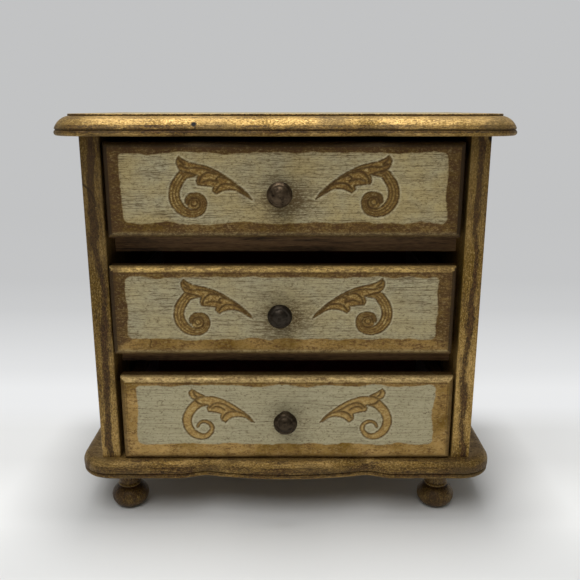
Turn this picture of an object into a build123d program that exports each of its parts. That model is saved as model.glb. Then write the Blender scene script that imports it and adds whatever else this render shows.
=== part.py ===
from build123d import *
import os
from math import cos, degrees, pi, radians, sin, sqrt, tan

# Case: two sides, a back and two shelves between a moulded top and base
CASE_W = 200.0
CASE_D = 130.0
CASE_H = 171.0
PANEL_T = 10.0
BACK_T = 4.0
BACK_RABBET_W = 5.0
SHELF_T = 10.0
SHELF_SETBACK = 18.0
SHELF_DADO = 3.0
LOWER_SHELF_DROP = 1.1
POST_ROUND = 0.8
JOINT_GAP = 0.05
CUT_PAST = 1.0

# Moulded boards: serpentine front, plain straight back
BOARD_OVERHANG = 13.0
TOP_SPREAD = 1.9
REAR_OVERHANG = 4.0
BOW_REACH = 7.0
DIP_X = 44.0
DIP_REACH = 2.2
DIP_R = 8.0
EAR_X = 56.0
EAR_REACH = 6.0
EAR_R = 10.0
CORNER_R = 18.0
BEAD_H = 2.9
BEAD_INSET = 0.2
BEAD_ROUND = 0.8
QUIRK = 0.4
TOP_OVOLO_H = 6.2
TOP_OVOLO_R = 9.0
BASE_OVOLO_H = 7.1
BASE_OVOLO_R = 5.0
FIELD_H = 0.9
FIELD_INSET = 7.3

# Turned bun feet, which stand a little to the left of the middle
FOOT_INSET = 13.0
FOOT_SHIFT = -1.8
FOOT_FRONT_Y = 12.0
FOOT_REAR_Y = 118.0
BALL_R = 10.2
BALL_MIDDLE = 6.3
BALL_H = 11.7
FOOT_PAD_R = 3.8
NECK_R = 6.2
NECK_GROOVE = 0.8
RING_R = 6.5
RING_H = 1.3
COLLAR_LOW_R = 5.9
COLLAR_R = 6.9
COLLAR_H = 10.3
COLLAR_ROUND = 0.5
SPIGOT_R = 4.0
SPIGOT_L = 8.0

# Drawers: a planted front on a lapped box
DRAWER_SIDE_GAP = 2.0
RUN_GAP = 0.2
FRONT_GAPS = 3.6
FRONT_PROUD = 2.5
FRONT_T = 9.0
FRONT_ROUND = 2.8
BOX_T = 5.0
BOX_SIDE_H = 40.0
LAP_D = 4.0
FLOOR_T = 3.0
FLOOR_LIFT = 4.0
FLOOR_GROOVE = 2.0
BACK_DADO = 1.5
BACK_DROP = 4.0
DRAWER_BACK_GAP = 5.0
LINING_T = 1.2
LINING_DROP = 1.0

# How far each front stands above the floor of its bay, how far each drawer stands to one side in it, and
# each knob's place from the middle of its front
BOTTOM_LIFT = 0.4
MIDDLE_LIFT = 0.6
TOP_LIFT = 0.8
BOTTOM_SHIFT = 0.6
MIDDLE_SHIFT = -1.4
TOP_SHIFT = -0.5
BOTTOM_KNOB_X = -0.7
BOTTOM_KNOB_Z = 1.0
MIDDLE_KNOB_X = -1.4
MIDDLE_KNOB_Z = -0.2
TOP_KNOB_X = -2.2
TOP_KNOB_Z = -1.0

# Knobs and their screws
KNOB_R = 6.25
KNOB_REACH = 11.2
KNOB_RIM = 0.8
KNOB_RIM_H = 0.8
KNOB_DOME_H = 3.0
KNOB_FLANGE_R = 4.2
KNOB_FLANGE_T = 1.0
KNOB_NECK_R = 2.9
KNOB_NECK_LOW = 3.0
KNOB_NECK_HIGH = 3.9
KNOB_DIMPLE_R = 1.7
KNOB_DIMPLE_D = 0.5
KNOB_BORE_L = 6.5
KNOB_SCREW_R = 1.3
KNOB_SCREW_L = 12.0
KNOB_HEAD_R = 3.1
KNOB_HEAD_T = 1.9
KNOB_HEAD_RECESS = 2.3

# Case fasteners
DOWEL_R = 3.0
DOWEL_L = 16.0
DOWEL_UP = 7.0
SCREW_R = 1.75
SCREW_L = 28.0
SCREW_HEAD_R = 3.5
SCREW_HEAD_T = 2.2
FASTENER_Y = (32.0, 98.0)
BRAD_W = 1.3
BRAD_L = 11.0
BRAD_HEAD_W = 2.4
BRAD_HEAD_T = 0.8
BRADS_PER_SIDE = 3
BRAD_MARGIN = 18.0

# Musical movement: bed, plates and gear train
MOVEMENT_BACK_GAP = 3.0
PLATE_T = 2.0
PLATE_SPACING = 29.0
PLATE_EYE_R = 5.5
BED_T = 3.0
BED_W = 76.0
BED_FRONT = 4.0
BED_REAR = 2.0
BED_CORNER_R = 3.0
BED_LEFT = 20.0
TENON_W = 4.0
TENON_INSET = 2.0
MODULE = 0.8
ADDENDUM = 0.8
DEDENDUM = 1.1
BACKLASH = 0.24
PRESSURE_ANGLE = 20.0
GREAT_TEETH = 36
PINION_TEETH = 14
DRIVE_TEETH = 30
LEAF_TEETH = 10
LEAF_DIRECTION = 50.0
WORM_MODULE = 0.5
WORM_TEETH = 24
WHEEL_T = 2.4
END_PLAY = 0.3
TRAIN_LIFT = 0.5
ARBOR_GAP = 0.05
KEY_ARBOR_R = 2.5
KEY_COLLAR_R = 3.5
KEY_COLLAR_T = 1.5
CYLINDER_ARBOR_R = 1.2
CYLINDER_SLEEVE_R = 2.2
LEAF_ARBOR_R = 0.9

# Spring barrel
BARREL_R = 12.0
BARREL_L = 15.0
BARREL_WALL = 1.0
BARREL_HUB_R = 3.6
SPRING_T = 0.5
SPRING_PITCH = 1.5
SPRING_TURNS = 4
SPRING_BENDS = 16

# Pinned cylinder and comb
DRUM_R = 6.5
DRUM_L = 20.5
DRUM_WALL = 0.7
DISC_T = 1.5
PIN_SIZE = 0.45
PIN_REACH = 0.8
PIN_ROWS = 18
PINS_PER_ROW = 3
PIN_ROOT = 0.3
PIN_STEP = 47.0
PIN_DRIFT = 13.0
COMB_T = 1.5
COMB_GAP = 0.25
COMB_SLOT = 0.25
COMB_PITCH = 1.05
TINE_L = 14.0
TINE_TAPER = 0.25
COMB_SEAT_W = 9.0
COMB_SCREW_R = 1.0
COMB_SCREW_L = 7.0
COMB_HEAD_R = 1.9
COMB_HEAD_T = 1.2
COMB_SCREWS = 3

# Governor and stop lever
WORM_R = 1.6
WORM_GAP = 0.15
GOVERNOR_ARBOR_R = 0.7
FAN_R = 5.5
FAN_H = 3.0
FAN_T = 0.5
FAN_HUB_R = 1.5
FAN_GAP = 0.6
GOVERNOR_FRAME_T = 1.5
GOVERNOR_FRAME_W = 9.0
GOVERNOR_FRAME_DROP = 7.0
GOVERNOR_FRAME_FRONT = 4.0
GOVERNOR_FRAME_BACK = 8.5
LEVER_T = 1.5
LEVER_W = 2.4
LEVER_HUB_R = 3.0
LEVER_POST_R = 1.5
LEVER_SHOULDER_R = 2.4
LEVER_HEAD_T = 1.0
LEVER_POST_X = 45.0
LEVER_POST_Y = 1.0
LEVER_FOOT = (14.0, -12.0)
LEVER_STOP = (0.2, 10.3)
LEVER_TAB_H = 12.0

# Movement screws, up through the base
BED_SCREW_R = 1.6
BED_HEAD_R = 3.4
BED_HEAD_T = 2.2
BED_SCREW_INSET = 5.0

# Winding key
KEY_STANDOFF = 2.0
KEY_HUB_R = 3.8
KEY_HUB_L = 9.0
KEY_WING_R = 5.4
KEY_WING_X = 7.0
KEY_WING_T = 2.2
KEY_WING_OVERLAP = 1.5
KEY_HOLE_R = 4.0

# Worked out from the sizes above
BOARD_W = CASE_W + 2 * BOARD_OVERHANG
INNER_W = CASE_W - 2 * PANEL_T
BAY_H = (CASE_H - 2 * SHELF_T) / 3
BAY_PITCH = BAY_H + SHELF_T
BACK_Y = CASE_D - BACK_T
BASE_H = BEAD_H + QUIRK + BASE_OVOLO_H
TOP_H = BEAD_H + QUIRK + TOP_OVOLO_H + FIELD_H
FOOT_X = CASE_W / 2 - FOOT_INSET
FOOT_H = BALL_H + NECK_GROOVE + RING_H + COLLAR_H
FLOOR_Z = FOOT_H + BASE_H
CASE_TOP = FLOOR_Z + CASE_H
FRONT_W = INNER_W - 2 * DRAWER_SIDE_GAP
FRONT_H = BAY_H - FRONT_GAPS
FRONT_BACK = FRONT_T - FRONT_PROUD
REAR_PLATE_Y = BACK_Y - MOVEMENT_BACK_GAP - PLATE_T
FRONT_PLATE_Y = REAR_PLATE_Y - PLATE_SPACING - PLATE_T
BED_Y = FRONT_PLATE_Y - BED_FRONT
KEY_END = CASE_D + KEY_STANDOFF + KEY_HUB_L - KEY_WING_OVERLAP + 2 * KEY_WING_R
LEVER_FOOT_Y = FRONT_PLATE_Y + LEVER_POST_Y + LEVER_FOOT[1] - LEVER_W / 2
FULL_DRAWER_D = BACK_Y - DRAWER_BACK_GAP
SHORT_DRAWER_D = LEVER_FOOT_Y - 2 * RUN_GAP

# The part's origin is under the middle of its box, from knob tips to key end
FRONT_Y = (KNOB_REACH + FRONT_PROUD - KEY_END) / 2

# Each drawer: name, its bay counted from below, lift, depth, sideways place, knob place
DRAWERS = (
    ("bottom", 0, BOTTOM_LIFT, SHORT_DRAWER_D, BOTTOM_SHIFT, (BOTTOM_KNOB_X, BOTTOM_KNOB_Z)),
    ("middle", 1, MIDDLE_LIFT, FULL_DRAWER_D, MIDDLE_SHIFT, (MIDDLE_KNOB_X, MIDDLE_KNOB_Z)),
    ("top", 2, TOP_LIFT, FULL_DRAWER_D, TOP_SHIFT, (TOP_KNOB_X, TOP_KNOB_Z)),
)


def block(x_span, y_span, z_span):
    """A box from three spans, with y counted from the front of the case sides."""
    size = [high - low for low, high in (x_span, y_span, z_span)]
    middle = [(high + low) / 2 for low, high in (x_span, y_span, z_span)]
    return Pos(middle[0], middle[1] + FRONT_Y, middle[2]) * Box(*size)


def through(low, high):
    """A cutter's span, a little past both faces."""
    return low - CUT_PAST, high + CUT_PAST


def rod_y(radius, x, y_span, z):
    """A round bar along Y."""
    y_low, y_high = y_span
    at = Plane(origin=(x, y_high + FRONT_Y, z), x_dir=(1, 0, 0), z_dir=(0, -1, 0))
    return extrude(at * Circle(radius), amount=y_high - y_low)


def rod_z(radius, x, y, z_span):
    """A round bar along Z."""
    z_low, z_high = z_span
    return extrude(Pos(x, y + FRONT_Y, z_low) * Circle(radius), amount=z_high - z_low)


def plate_y(sketch, x, y_span, z):
    """A flat sketch drawn in X and Z, given its thickness along Y."""
    y_low, y_high = y_span
    at = Plane(origin=(x, y_high + FRONT_Y, z), x_dir=(1, 0, 0), z_dir=(0, -1, 0))
    return extrude(at * sketch, amount=y_high - y_low)


def joined(pieces):
    """One solid from pieces that touch."""
    whole = pieces[0]
    for piece in pieces[1:]:
        whole = whole + piece
    return whole


# Moulded top and base

def board_plan():
    """The serpentine outline: a middle bow, a dip each side of it, flat ears and round corners."""
    half = BOARD_W / 2
    back = CASE_D + REAR_OVERHANG + CORNER_R
    bow = ThreePointArc((-DIP_X, -DIP_REACH), (0, -BOW_REACH), (DIP_X, -DIP_REACH))
    rim = Polyline(
        (DIP_X, -DIP_REACH),
        (EAR_X, -EAR_REACH),
        (half, -EAR_REACH),
        (half, back),
        (-half, back),
        (-half, -EAR_REACH),
        (-EAR_X, -EAR_REACH),
        (-DIP_X, -DIP_REACH),
    )
    plan = make_face([bow, rim])
    for place, reach, radius in (
        (DIP_X, DIP_REACH, DIP_R),
        (EAR_X, EAR_REACH, EAR_R),
        (half, EAR_REACH, CORNER_R),
    ):
        corners = [
            v for v in plan.vertices()
            if abs(abs(v.X) - place) < 0.01 and abs(v.Y + reach) < 0.01
        ]
        plan = fillet(corners, radius)
    return plan


def board_slab(inset, z_low, height):
    """One layer of the moulding, drawn in from the outline, or out from it where the inset is below zero."""
    plan = board_plan()
    if inset != 0:
        plan = offset(plan, -inset)
    return extrude(Pos(0, FRONT_Y, z_low) * plan, amount=height)


def moulded_board(z_low, spread, ovolo_h, ovolo_r, with_field):
    """Bead below, quirk, ovolo above, and on the top board a raised field.

    The ovolo may be a shallower part of a large quarter-round, so it is rounded as a thick slab and then cut
    off at the quirk."""
    ovolo_z = z_low + BEAD_H + QUIRK
    ovolo_top = ovolo_z + ovolo_h
    bead = board_slab(BEAD_INSET - spread, z_low, BEAD_H)
    rims = bead.faces().filter_by(Axis.Z).edges()
    thick = max(ovolo_h, ovolo_r + QUIRK)
    ovolo = board_slab(-spread, ovolo_top - thick, thick)
    ovolo = fillet(ovolo.faces().sort_by(Axis.Z)[-1].edges(), ovolo_r)
    beyond = 2 * BOARD_W
    if thick > ovolo_h:
        ovolo -= block((-beyond, beyond), (-beyond, beyond), (z_low - ovolo_r, ovolo_z))
    layers = [
        chamfer(rims, BEAD_ROUND),
        board_slab(BEAD_INSET + BEAD_ROUND - spread, z_low + BEAD_H - QUIRK, 3 * QUIRK),
        ovolo,
    ]
    if with_field:
        layers.append(board_slab(FIELD_INSET - spread, ovolo_top - QUIRK, FIELD_H + QUIRK))
    board = joined(layers)
    back_edge = CASE_D + REAR_OVERHANG
    trim = block((-beyond, beyond), (back_edge, back_edge + beyond), through(z_low, ovolo_top + FIELD_H))
    return board - trim


def foot_places():
    for y, row in ((FOOT_FRONT_Y, "front"), (FOOT_REAR_Y, "rear")):
        for x, side in ((-FOOT_X, "left"), (FOOT_X, "right")):
            yield x + FOOT_SHIFT, y, row + "_" + side


def bed_screw_places():
    middle = (BED_Y + REAR_PLATE_Y + PLATE_T) / 2
    return [
        (BED_SCREW_INSET - BED_LEFT, middle),
        (BED_W - BED_LEFT - BED_SCREW_INSET, middle),
    ]


def side_fastener_places():
    x = (CASE_W - PANEL_T) / 2
    return [(side * x, y) for side in (-1, 1) for y in FASTENER_Y]


def base_board():
    board = moulded_board(FOOT_H, 0, BASE_OVOLO_H, BASE_OVOLO_R, False)
    for x, y, _ in foot_places():
        board -= rod_z(SPIGOT_R + JOINT_GAP, x, y, (FOOT_H - CUT_PAST, FOOT_H + SPIGOT_L + JOINT_GAP))
    for x, y in side_fastener_places():
        board -= rod_z(SCREW_R + JOINT_GAP, x, y, through(FOOT_H, FLOOR_Z))
        board -= rod_z(SCREW_HEAD_R + JOINT_GAP, x, y, (FOOT_H - CUT_PAST, FOOT_H + SCREW_HEAD_T))
    for x, y in bed_screw_places():
        board -= rod_z(BED_SCREW_R + JOINT_GAP, x, y, through(FOOT_H, FLOOR_Z))
        board -= rod_z(BED_HEAD_R + JOINT_GAP, x, y, (FOOT_H - CUT_PAST, FOOT_H + BED_HEAD_T))
    return board


def top_board():
    board = moulded_board(CASE_TOP, TOP_SPREAD, TOP_OVOLO_H, TOP_OVOLO_R, True)
    for x, y in side_fastener_places():
        board -= rod_z(DOWEL_R + JOINT_GAP, x, y, (CASE_TOP - CUT_PAST, CASE_TOP + DOWEL_UP + JOINT_GAP))
    return board


# Sides, shelves and back

def shelf_bottoms():
    return [FLOOR_Z + BAY_H - LOWER_SHELF_DROP, FLOOR_Z + BAY_H + BAY_PITCH]


def bay_floors():
    return [FLOOR_Z, *(z + SHELF_T for z in shelf_bottoms())]


def side_panel(side):
    """A side with dadoes for the shelves, a rabbet for the back and holes for its dowels and screws."""
    inner = INNER_W / 2
    outer = CASE_W / 2
    panel = block((inner, outer), (0, CASE_D), (FLOOR_Z, CASE_TOP))
    front_rims = panel.faces().sort_by(Axis.Y)[0].edges().filter_by(Axis.Z)
    panel = fillet(front_rims, POST_ROUND)
    behind = CASE_D + CUT_PAST
    for z in shelf_bottoms():
        panel -= block((inner - CUT_PAST, inner + SHELF_DADO), (SHELF_SETBACK, behind), (z, z + SHELF_T))
    panel -= block((inner - CUT_PAST, inner + BACK_RABBET_W), (BACK_Y, behind), through(FLOOR_Z, CASE_TOP))
    middle = (inner + outer) / 2
    for y in FASTENER_Y:
        panel -= rod_z(SCREW_R + JOINT_GAP, middle, y, (FLOOR_Z - CUT_PAST, FOOT_H + SCREW_L + JOINT_GAP))
        panel -= rod_z(DOWEL_R + JOINT_GAP, middle, y, (CASE_TOP + DOWEL_UP - DOWEL_L, CASE_TOP + CUT_PAST))
    for x, z in brad_places():
        if x > 0:
            panel -= brad_block(x, z, BRAD_W / 2 + JOINT_GAP, (CASE_D - BRAD_L - JOINT_GAP, behind))
    return panel if side > 0 else mirror(panel, Plane.YZ)


def shelf(z):
    half = INNER_W / 2 + SHELF_DADO - JOINT_GAP
    return block((-half, half), (SHELF_SETBACK + JOINT_GAP, BACK_Y), (z, z + SHELF_T))


def brad_places():
    x = INNER_W / 2 + BACK_RABBET_W / 2
    step = (CASE_H - 2 * BRAD_MARGIN) / (BRADS_PER_SIDE - 1)
    return [
        (side * x, FLOOR_Z + BRAD_MARGIN + i * step)
        for side in (-1, 1)
        for i in range(BRADS_PER_SIDE)
    ]


def brad_block(x, z, half, y_span):
    """A square cut nail, or its hole."""
    return block((x - half, x + half), y_span, (z - half, z + half))


def back_panel():
    half = INNER_W / 2 + BACK_RABBET_W - JOINT_GAP
    panel = block((-half, half), (BACK_Y, CASE_D), (FLOOR_Z, CASE_TOP))
    panel -= rod_y(KEY_HOLE_R, 0, through(BACK_Y, CASE_D), TRAIN_Z)
    for x, z in brad_places():
        panel -= brad_block(x, z, BRAD_W / 2 + JOINT_GAP, through(BACK_Y, CASE_D))
        panel -= brad_block(x, z, BRAD_HEAD_W / 2 + JOINT_GAP, (CASE_D - BRAD_HEAD_T, CASE_D + CUT_PAST))
    return panel


def back_brads():
    brads = []
    for x, z in brad_places():
        shank = brad_block(x, z, BRAD_W / 2, (CASE_D - BRAD_L, CASE_D))
        brads.append(shank + brad_block(x, z, BRAD_HEAD_W / 2, (CASE_D - BRAD_HEAD_T, CASE_D)))
    return Compound(children=brads)


def side_screws():
    screws = []
    for x, y in side_fastener_places():
        shank = rod_z(SCREW_R, x, y, (FOOT_H, FOOT_H + SCREW_L))
        screws.append(shank + rod_z(SCREW_HEAD_R, x, y, (FOOT_H, FOOT_H + SCREW_HEAD_T)))
    return Compound(children=screws)


def top_dowels():
    low = CASE_TOP + DOWEL_UP - DOWEL_L
    return Compound(children=[rod_z(DOWEL_R, x, y, (low, low + DOWEL_L)) for x, y in side_fastener_places()])


# Turned foot

def foot(x, y):
    """A bun with a flat pad, a groove, a ring and a flared collar, and a spigot that is glued into the base."""
    pad = (FOOT_PAD_R, 0)
    ball_top = (NECK_R, BALL_H)
    ring_low = BALL_H + NECK_GROOVE
    collar_low = ring_low + RING_H
    lines = [
        Line((0, 0), pad),
        ThreePointArc(pad, (BALL_R, BALL_MIDDLE), ball_top),
        Polyline(
            ball_top,
            (NECK_R - NECK_GROOVE, BALL_H + NECK_GROOVE / 2),
            (NECK_R, ring_low),
            (RING_R, ring_low + RING_H / 2),
            (COLLAR_LOW_R, collar_low),
            (COLLAR_R, FOOT_H - COLLAR_ROUND),
            (COLLAR_R - COLLAR_ROUND, FOOT_H),
            (SPIGOT_R, FOOT_H),
            (SPIGOT_R, FOOT_H + SPIGOT_L),
            (0, FOOT_H + SPIGOT_L),
            (0, 0),
        ),
    ]
    half = make_face(lines)
    turned = revolve(Plane.XZ * half, Axis.Z)
    return Pos(x, y + FRONT_Y, 0) * turned


# Drawers

def drawer_front(bay_z, lift, shift, knob):
    """A planted front with a rounded rim, laps for the sides, a floor groove and the knob's hole."""
    half = FRONT_W / 2
    low = bay_z + lift
    front = block((shift - half, shift + half), (-FRONT_PROUD, FRONT_BACK), (low, low + FRONT_H))
    front = fillet(front.faces().sort_by(Axis.Y)[0].edges(), FRONT_ROUND)
    lap_top = bay_z + RUN_GAP + BOX_SIDE_H
    for side in (-1, 1):
        edge = sorted((shift + side * (half - BOX_T), shift + side * (half + CUT_PAST)))
        front -= block(edge, (FRONT_BACK - LAP_D, FRONT_BACK + CUT_PAST), (low - CUT_PAST, lap_top))
    groove_z = bay_z + RUN_GAP + FLOOR_LIFT
    groove = (shift - half + BOX_T - FLOOR_GROOVE, shift + half - BOX_T + FLOOR_GROOVE)
    front -= block(groove, (FRONT_BACK - FLOOR_GROOVE, FRONT_BACK + CUT_PAST), (groove_z, groove_z + FLOOR_T))
    x = shift + knob[0]
    z = low + FRONT_H / 2 + knob[1]
    front -= rod_y(KNOB_SCREW_R + JOINT_GAP, x, through(-FRONT_PROUD, FRONT_BACK), z)
    front -= rod_y(KNOB_HEAD_R + 2 * JOINT_GAP, x, (FRONT_BACK - KNOB_HEAD_RECESS, FRONT_BACK + CUT_PAST), z)
    return front


def drawer_side(side, bay_z, depth, shift):
    outer = shift + side * FRONT_W / 2
    inner = outer - side * BOX_T
    low = bay_z + RUN_GAP
    wall = block(sorted((inner, outer)), (FRONT_BACK - LAP_D, depth), (low, low + BOX_SIDE_H))
    groove = sorted((inner - side, inner + side * FLOOR_GROOVE))
    wall -= block(groove, (0, depth + CUT_PAST), (low + FLOOR_LIFT, low + FLOOR_LIFT + FLOOR_T))
    dado = sorted((inner - side, inner + side * BACK_DADO))
    wall -= block(dado, (depth - BOX_T, depth + CUT_PAST), (low + FLOOR_LIFT, low + BOX_SIDE_H + CUT_PAST))
    return wall


def drawer_floor(bay_z, depth, shift):
    half = FRONT_W / 2 - BOX_T + FLOOR_GROOVE - JOINT_GAP
    low = bay_z + RUN_GAP + FLOOR_LIFT
    return block((shift - half, shift + half), (FRONT_BACK - FLOOR_GROOVE, depth), (low, low + FLOOR_T))


def drawer_back(bay_z, depth, shift):
    half = FRONT_W / 2 - BOX_T + BACK_DADO - JOINT_GAP
    low = bay_z + RUN_GAP + FLOOR_LIFT + FLOOR_T
    high = bay_z + RUN_GAP + BOX_SIDE_H - BACK_DROP
    return block((shift - half, shift + half), (depth - BOX_T, depth), (low, high))


def drawer_lining(bay_z, depth, shift):
    """A velvet tray that covers the floor and the four inner walls."""
    half = FRONT_W / 2 - BOX_T - JOINT_GAP
    y_span = (FRONT_BACK + JOINT_GAP, depth - BOX_T - JOINT_GAP)
    low = bay_z + RUN_GAP + FLOOR_LIFT + FLOOR_T
    high = bay_z + RUN_GAP + BOX_SIDE_H - BACK_DROP - LINING_DROP
    tray = block((shift - half, shift + half), y_span, (low, high))
    hollow_x = (shift - half + LINING_T, shift + half - LINING_T)
    hollow_y = (y_span[0] + LINING_T, y_span[1] - LINING_T)
    return tray - block(hollow_x, hollow_y, (low + LINING_T, high + CUT_PAST))


def knob_place(bay_z, lift, shift, knob):
    return shift + knob[0], bay_z + lift + FRONT_H / 2 + knob[1]


def drawer_knob(bay_z, lift, shift, knob):
    """A cast knob: flange, waisted neck and a domed head with a small dimple, both parts of spheres."""
    rim_y = KNOB_REACH - KNOB_DOME_H
    dome_drop = (KNOB_R**2 - KNOB_DIMPLE_R**2 - KNOB_DOME_H**2) / (2 * KNOB_DOME_H)
    dome_r = sqrt(KNOB_R**2 + dome_drop**2)
    half_way = (KNOB_R + KNOB_DIMPLE_R) / 2
    dome_middle = (half_way, rim_y - dome_drop + sqrt(dome_r**2 - half_way**2))
    pit_r = (KNOB_DIMPLE_R**2 + KNOB_DIMPLE_D**2) / (2 * KNOB_DIMPLE_D)
    pit_y = KNOB_REACH - KNOB_DIMPLE_D
    pit_middle = (KNOB_DIMPLE_R / 2, pit_y + pit_r - sqrt(pit_r**2 - KNOB_DIMPLE_R**2 / 4))
    rim = (KNOB_R, rim_y)
    dimple = (KNOB_DIMPLE_R, KNOB_REACH)
    lines = [
        Polyline(
            (0, 0),
            (KNOB_FLANGE_R, 0),
            (KNOB_FLANGE_R, KNOB_FLANGE_T),
            (KNOB_NECK_R, KNOB_NECK_LOW),
            (KNOB_NECK_R, KNOB_NECK_HIGH),
            (KNOB_R - KNOB_RIM, rim_y - KNOB_RIM_H - KNOB_RIM),
            (KNOB_R, rim_y - KNOB_RIM_H),
            rim,
        ),
        ThreePointArc(rim, dome_middle, dimple),
        ThreePointArc(dimple, pit_middle, (0, pit_y)),
        Line((0, pit_y), (0, 0)),
    ]
    turned = revolve(make_face(lines), Axis.Y)
    x, z = knob_place(bay_z, lift, shift, knob)
    cast = Pos(x, FRONT_Y - FRONT_PROUD, z) * Rot(0, 0, 180) * turned
    return cast - rod_y(KNOB_SCREW_R + JOINT_GAP, x, (-FRONT_PROUD - KNOB_BORE_L, CUT_PAST), z)


def drawer_knob_screw(bay_z, lift, shift, knob):
    x, z = knob_place(bay_z, lift, shift, knob)
    seat = FRONT_BACK - KNOB_HEAD_RECESS
    shank = rod_y(KNOB_SCREW_R, x, (seat - KNOB_SCREW_L, seat), z)
    return shank + rod_y(KNOB_HEAD_R, x, (seat, seat + KNOB_HEAD_T), z)


# Musical movement

def gear_radius(teeth, module):
    return teeth * module / 2


def gear_sketch(teeth, module, tooth_angle):
    """A spur wheel's outline, with straight-flanked teeth, one of them centred on tooth_angle."""
    pitch_r = gear_radius(teeth, module)
    tip_r = pitch_r + ADDENDUM * module
    root_r = pitch_r - DEDENDUM * module
    pitch_angle = 360 / teeth
    half_pitch_width = pitch_angle / 4 * (1 - BACKLASH)
    flank = degrees(tan(radians(PRESSURE_ANGLE)) / pitch_r)
    half_tip = half_pitch_width - flank * (tip_r - pitch_r)
    half_root = half_pitch_width + flank * (pitch_r - root_r)
    outline = []
    for i in range(teeth):
        centre = tooth_angle + i * pitch_angle
        for r, swing in ((root_r, -half_root), (tip_r, -half_tip), (tip_r, half_tip), (root_r, half_root)):
            at = radians(centre + swing)
            outline.append((r * cos(at), r * sin(at)))
    return make_face(Polyline(*outline, close=True))


TRAIN_Z = FLOOR_Z + BED_T + TRAIN_LIFT + gear_radius(GREAT_TEETH, MODULE) + ADDENDUM * MODULE
CYLINDER_X = gear_radius(GREAT_TEETH + PINION_TEETH, MODULE)
LEAF_DISTANCE = gear_radius(DRIVE_TEETH + LEAF_TEETH, MODULE)
LEAF_X = CYLINDER_X + LEAF_DISTANCE * cos(radians(LEAF_DIRECTION))
LEAF_Z = TRAIN_Z + LEAF_DISTANCE * sin(radians(LEAF_DIRECTION))
WORM_WHEEL_R = gear_radius(WORM_TEETH, WORM_MODULE) + ADDENDUM * WORM_MODULE
GOVERNOR_X = LEAF_X + WORM_WHEEL_R + WORM_R + WORM_GAP
GREAT_Y = FRONT_PLATE_Y + PLATE_T + 3 * END_PLAY
DRUM_Y = GREAT_Y + WHEEL_T + 3 * END_PLAY
DRIVE_Y = REAR_PLATE_Y - END_PLAY - WHEEL_T
WORM_Y = DRUM_Y + DRUM_L / 2
GOVERNOR_Y = WORM_Y + WHEEL_T / 2
FAN_Z = LEAF_Z + WORM_WHEEL_R + FAN_GAP
GOVERNOR_Z = FAN_Z + FAN_H + FAN_GAP + GOVERNOR_FRAME_T
GOVERNOR_LOW = LEAF_Z - GOVERNOR_FRAME_DROP
LEVER_AT = (LEVER_POST_X, FRONT_PLATE_Y + LEVER_POST_Y)


def bedplate():
    """The flat bed, with slots for the plates' tenons and threaded holes for its screws."""
    span_x = (-BED_LEFT, BED_W - BED_LEFT)
    span_y = (BED_Y, REAR_PLATE_Y + PLATE_T + BED_REAR)
    bed = block(span_x, span_y, (FLOOR_Z, FLOOR_Z + BED_T))
    bed = fillet(bed.edges().filter_by(Axis.Z), BED_CORNER_R)
    for x, y in bed_screw_places():
        bed -= rod_z(BED_SCREW_R + JOINT_GAP, x, y, through(FLOOR_Z, FLOOR_Z + BED_T))
    for y in (FRONT_PLATE_Y, REAR_PLATE_Y):
        for x in tenon_places():
            slot_x = (x - TENON_W / 2 - JOINT_GAP, x + TENON_W / 2 + JOINT_GAP)
            slot_y = (y - JOINT_GAP, y + PLATE_T + JOINT_GAP)
            bed -= block(slot_x, slot_y, through(FLOOR_Z, FLOOR_Z + BED_T))
    x, y = LEVER_AT
    bed -= rod_z(LEVER_POST_R + JOINT_GAP, x, y, through(FLOOR_Z, FLOOR_Z + BED_T))
    return bed


def tenon_places():
    return TENON_INSET, CYLINDER_X - TENON_INSET


def train_plate(y, eyes):
    """An upright plate that carries the arbors: eyes joined by straight edges, on two riveted tenons."""
    rounds = [Pos(x, z - TRAIN_Z) * Circle(PLATE_EYE_R) for x, z, _ in eyes]
    skirt_h = TRAIN_Z - FLOOR_Z - BED_T
    skirt = Pos(CYLINDER_X / 2, -skirt_h / 2) * Rectangle(CYLINDER_X, skirt_h)
    outline = make_hull(joined(rounds).edges()) + skirt
    plate = plate_y(outline, 0, (y, y + PLATE_T), TRAIN_Z)
    for x in tenon_places():
        tenon_x = (x - TENON_W / 2, x + TENON_W / 2)
        plate += block(tenon_x, (y, y + PLATE_T), (FLOOR_Z, FLOOR_Z + BED_T + CUT_PAST))
    for x, z, radius in eyes:
        if radius > 0:
            plate -= rod_y(radius + ARBOR_GAP, x, through(y, y + PLATE_T), z)
    return plate


def arbor_eyes():
    return [
        (0, TRAIN_Z, KEY_ARBOR_R),
        (CYLINDER_X, TRAIN_Z, CYLINDER_ARBOR_R),
        (LEAF_X, LEAF_Z, LEAF_ARBOR_R),
    ]


def front_plate():
    return train_plate(FRONT_PLATE_Y, arbor_eyes())


def rear_plate():
    """As the front plate, with one more lobe that carries the governor's frame."""
    lobe = (GOVERNOR_X, GOVERNOR_Z - PLATE_EYE_R, 0)
    return train_plate(REAR_PLATE_Y, arbor_eyes() + [lobe])


def spring_barrel():
    """A drum open at the back, with the great wheel on its front end and a hub on the key arbor."""
    y_wheel = (GREAT_Y, GREAT_Y + WHEEL_T)
    y_drum = (y_wheel[1], y_wheel[1] + BARREL_L)
    barrel = plate_y(gear_sketch(GREAT_TEETH, MODULE, 0), 0, y_wheel, TRAIN_Z)
    barrel += rod_y(BARREL_R, 0, y_drum, TRAIN_Z)
    barrel -= rod_y(BARREL_R - BARREL_WALL, 0, (y_drum[0] + BARREL_WALL, y_drum[1] + CUT_PAST), TRAIN_Z)
    barrel += rod_y(BARREL_HUB_R, 0, (y_drum[0], y_drum[0] + 2 * BARREL_WALL), TRAIN_Z)
    return barrel - rod_y(KEY_ARBOR_R + ARBOR_GAP, 0, through(y_wheel[0], y_drum[1]), TRAIN_Z)


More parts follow.
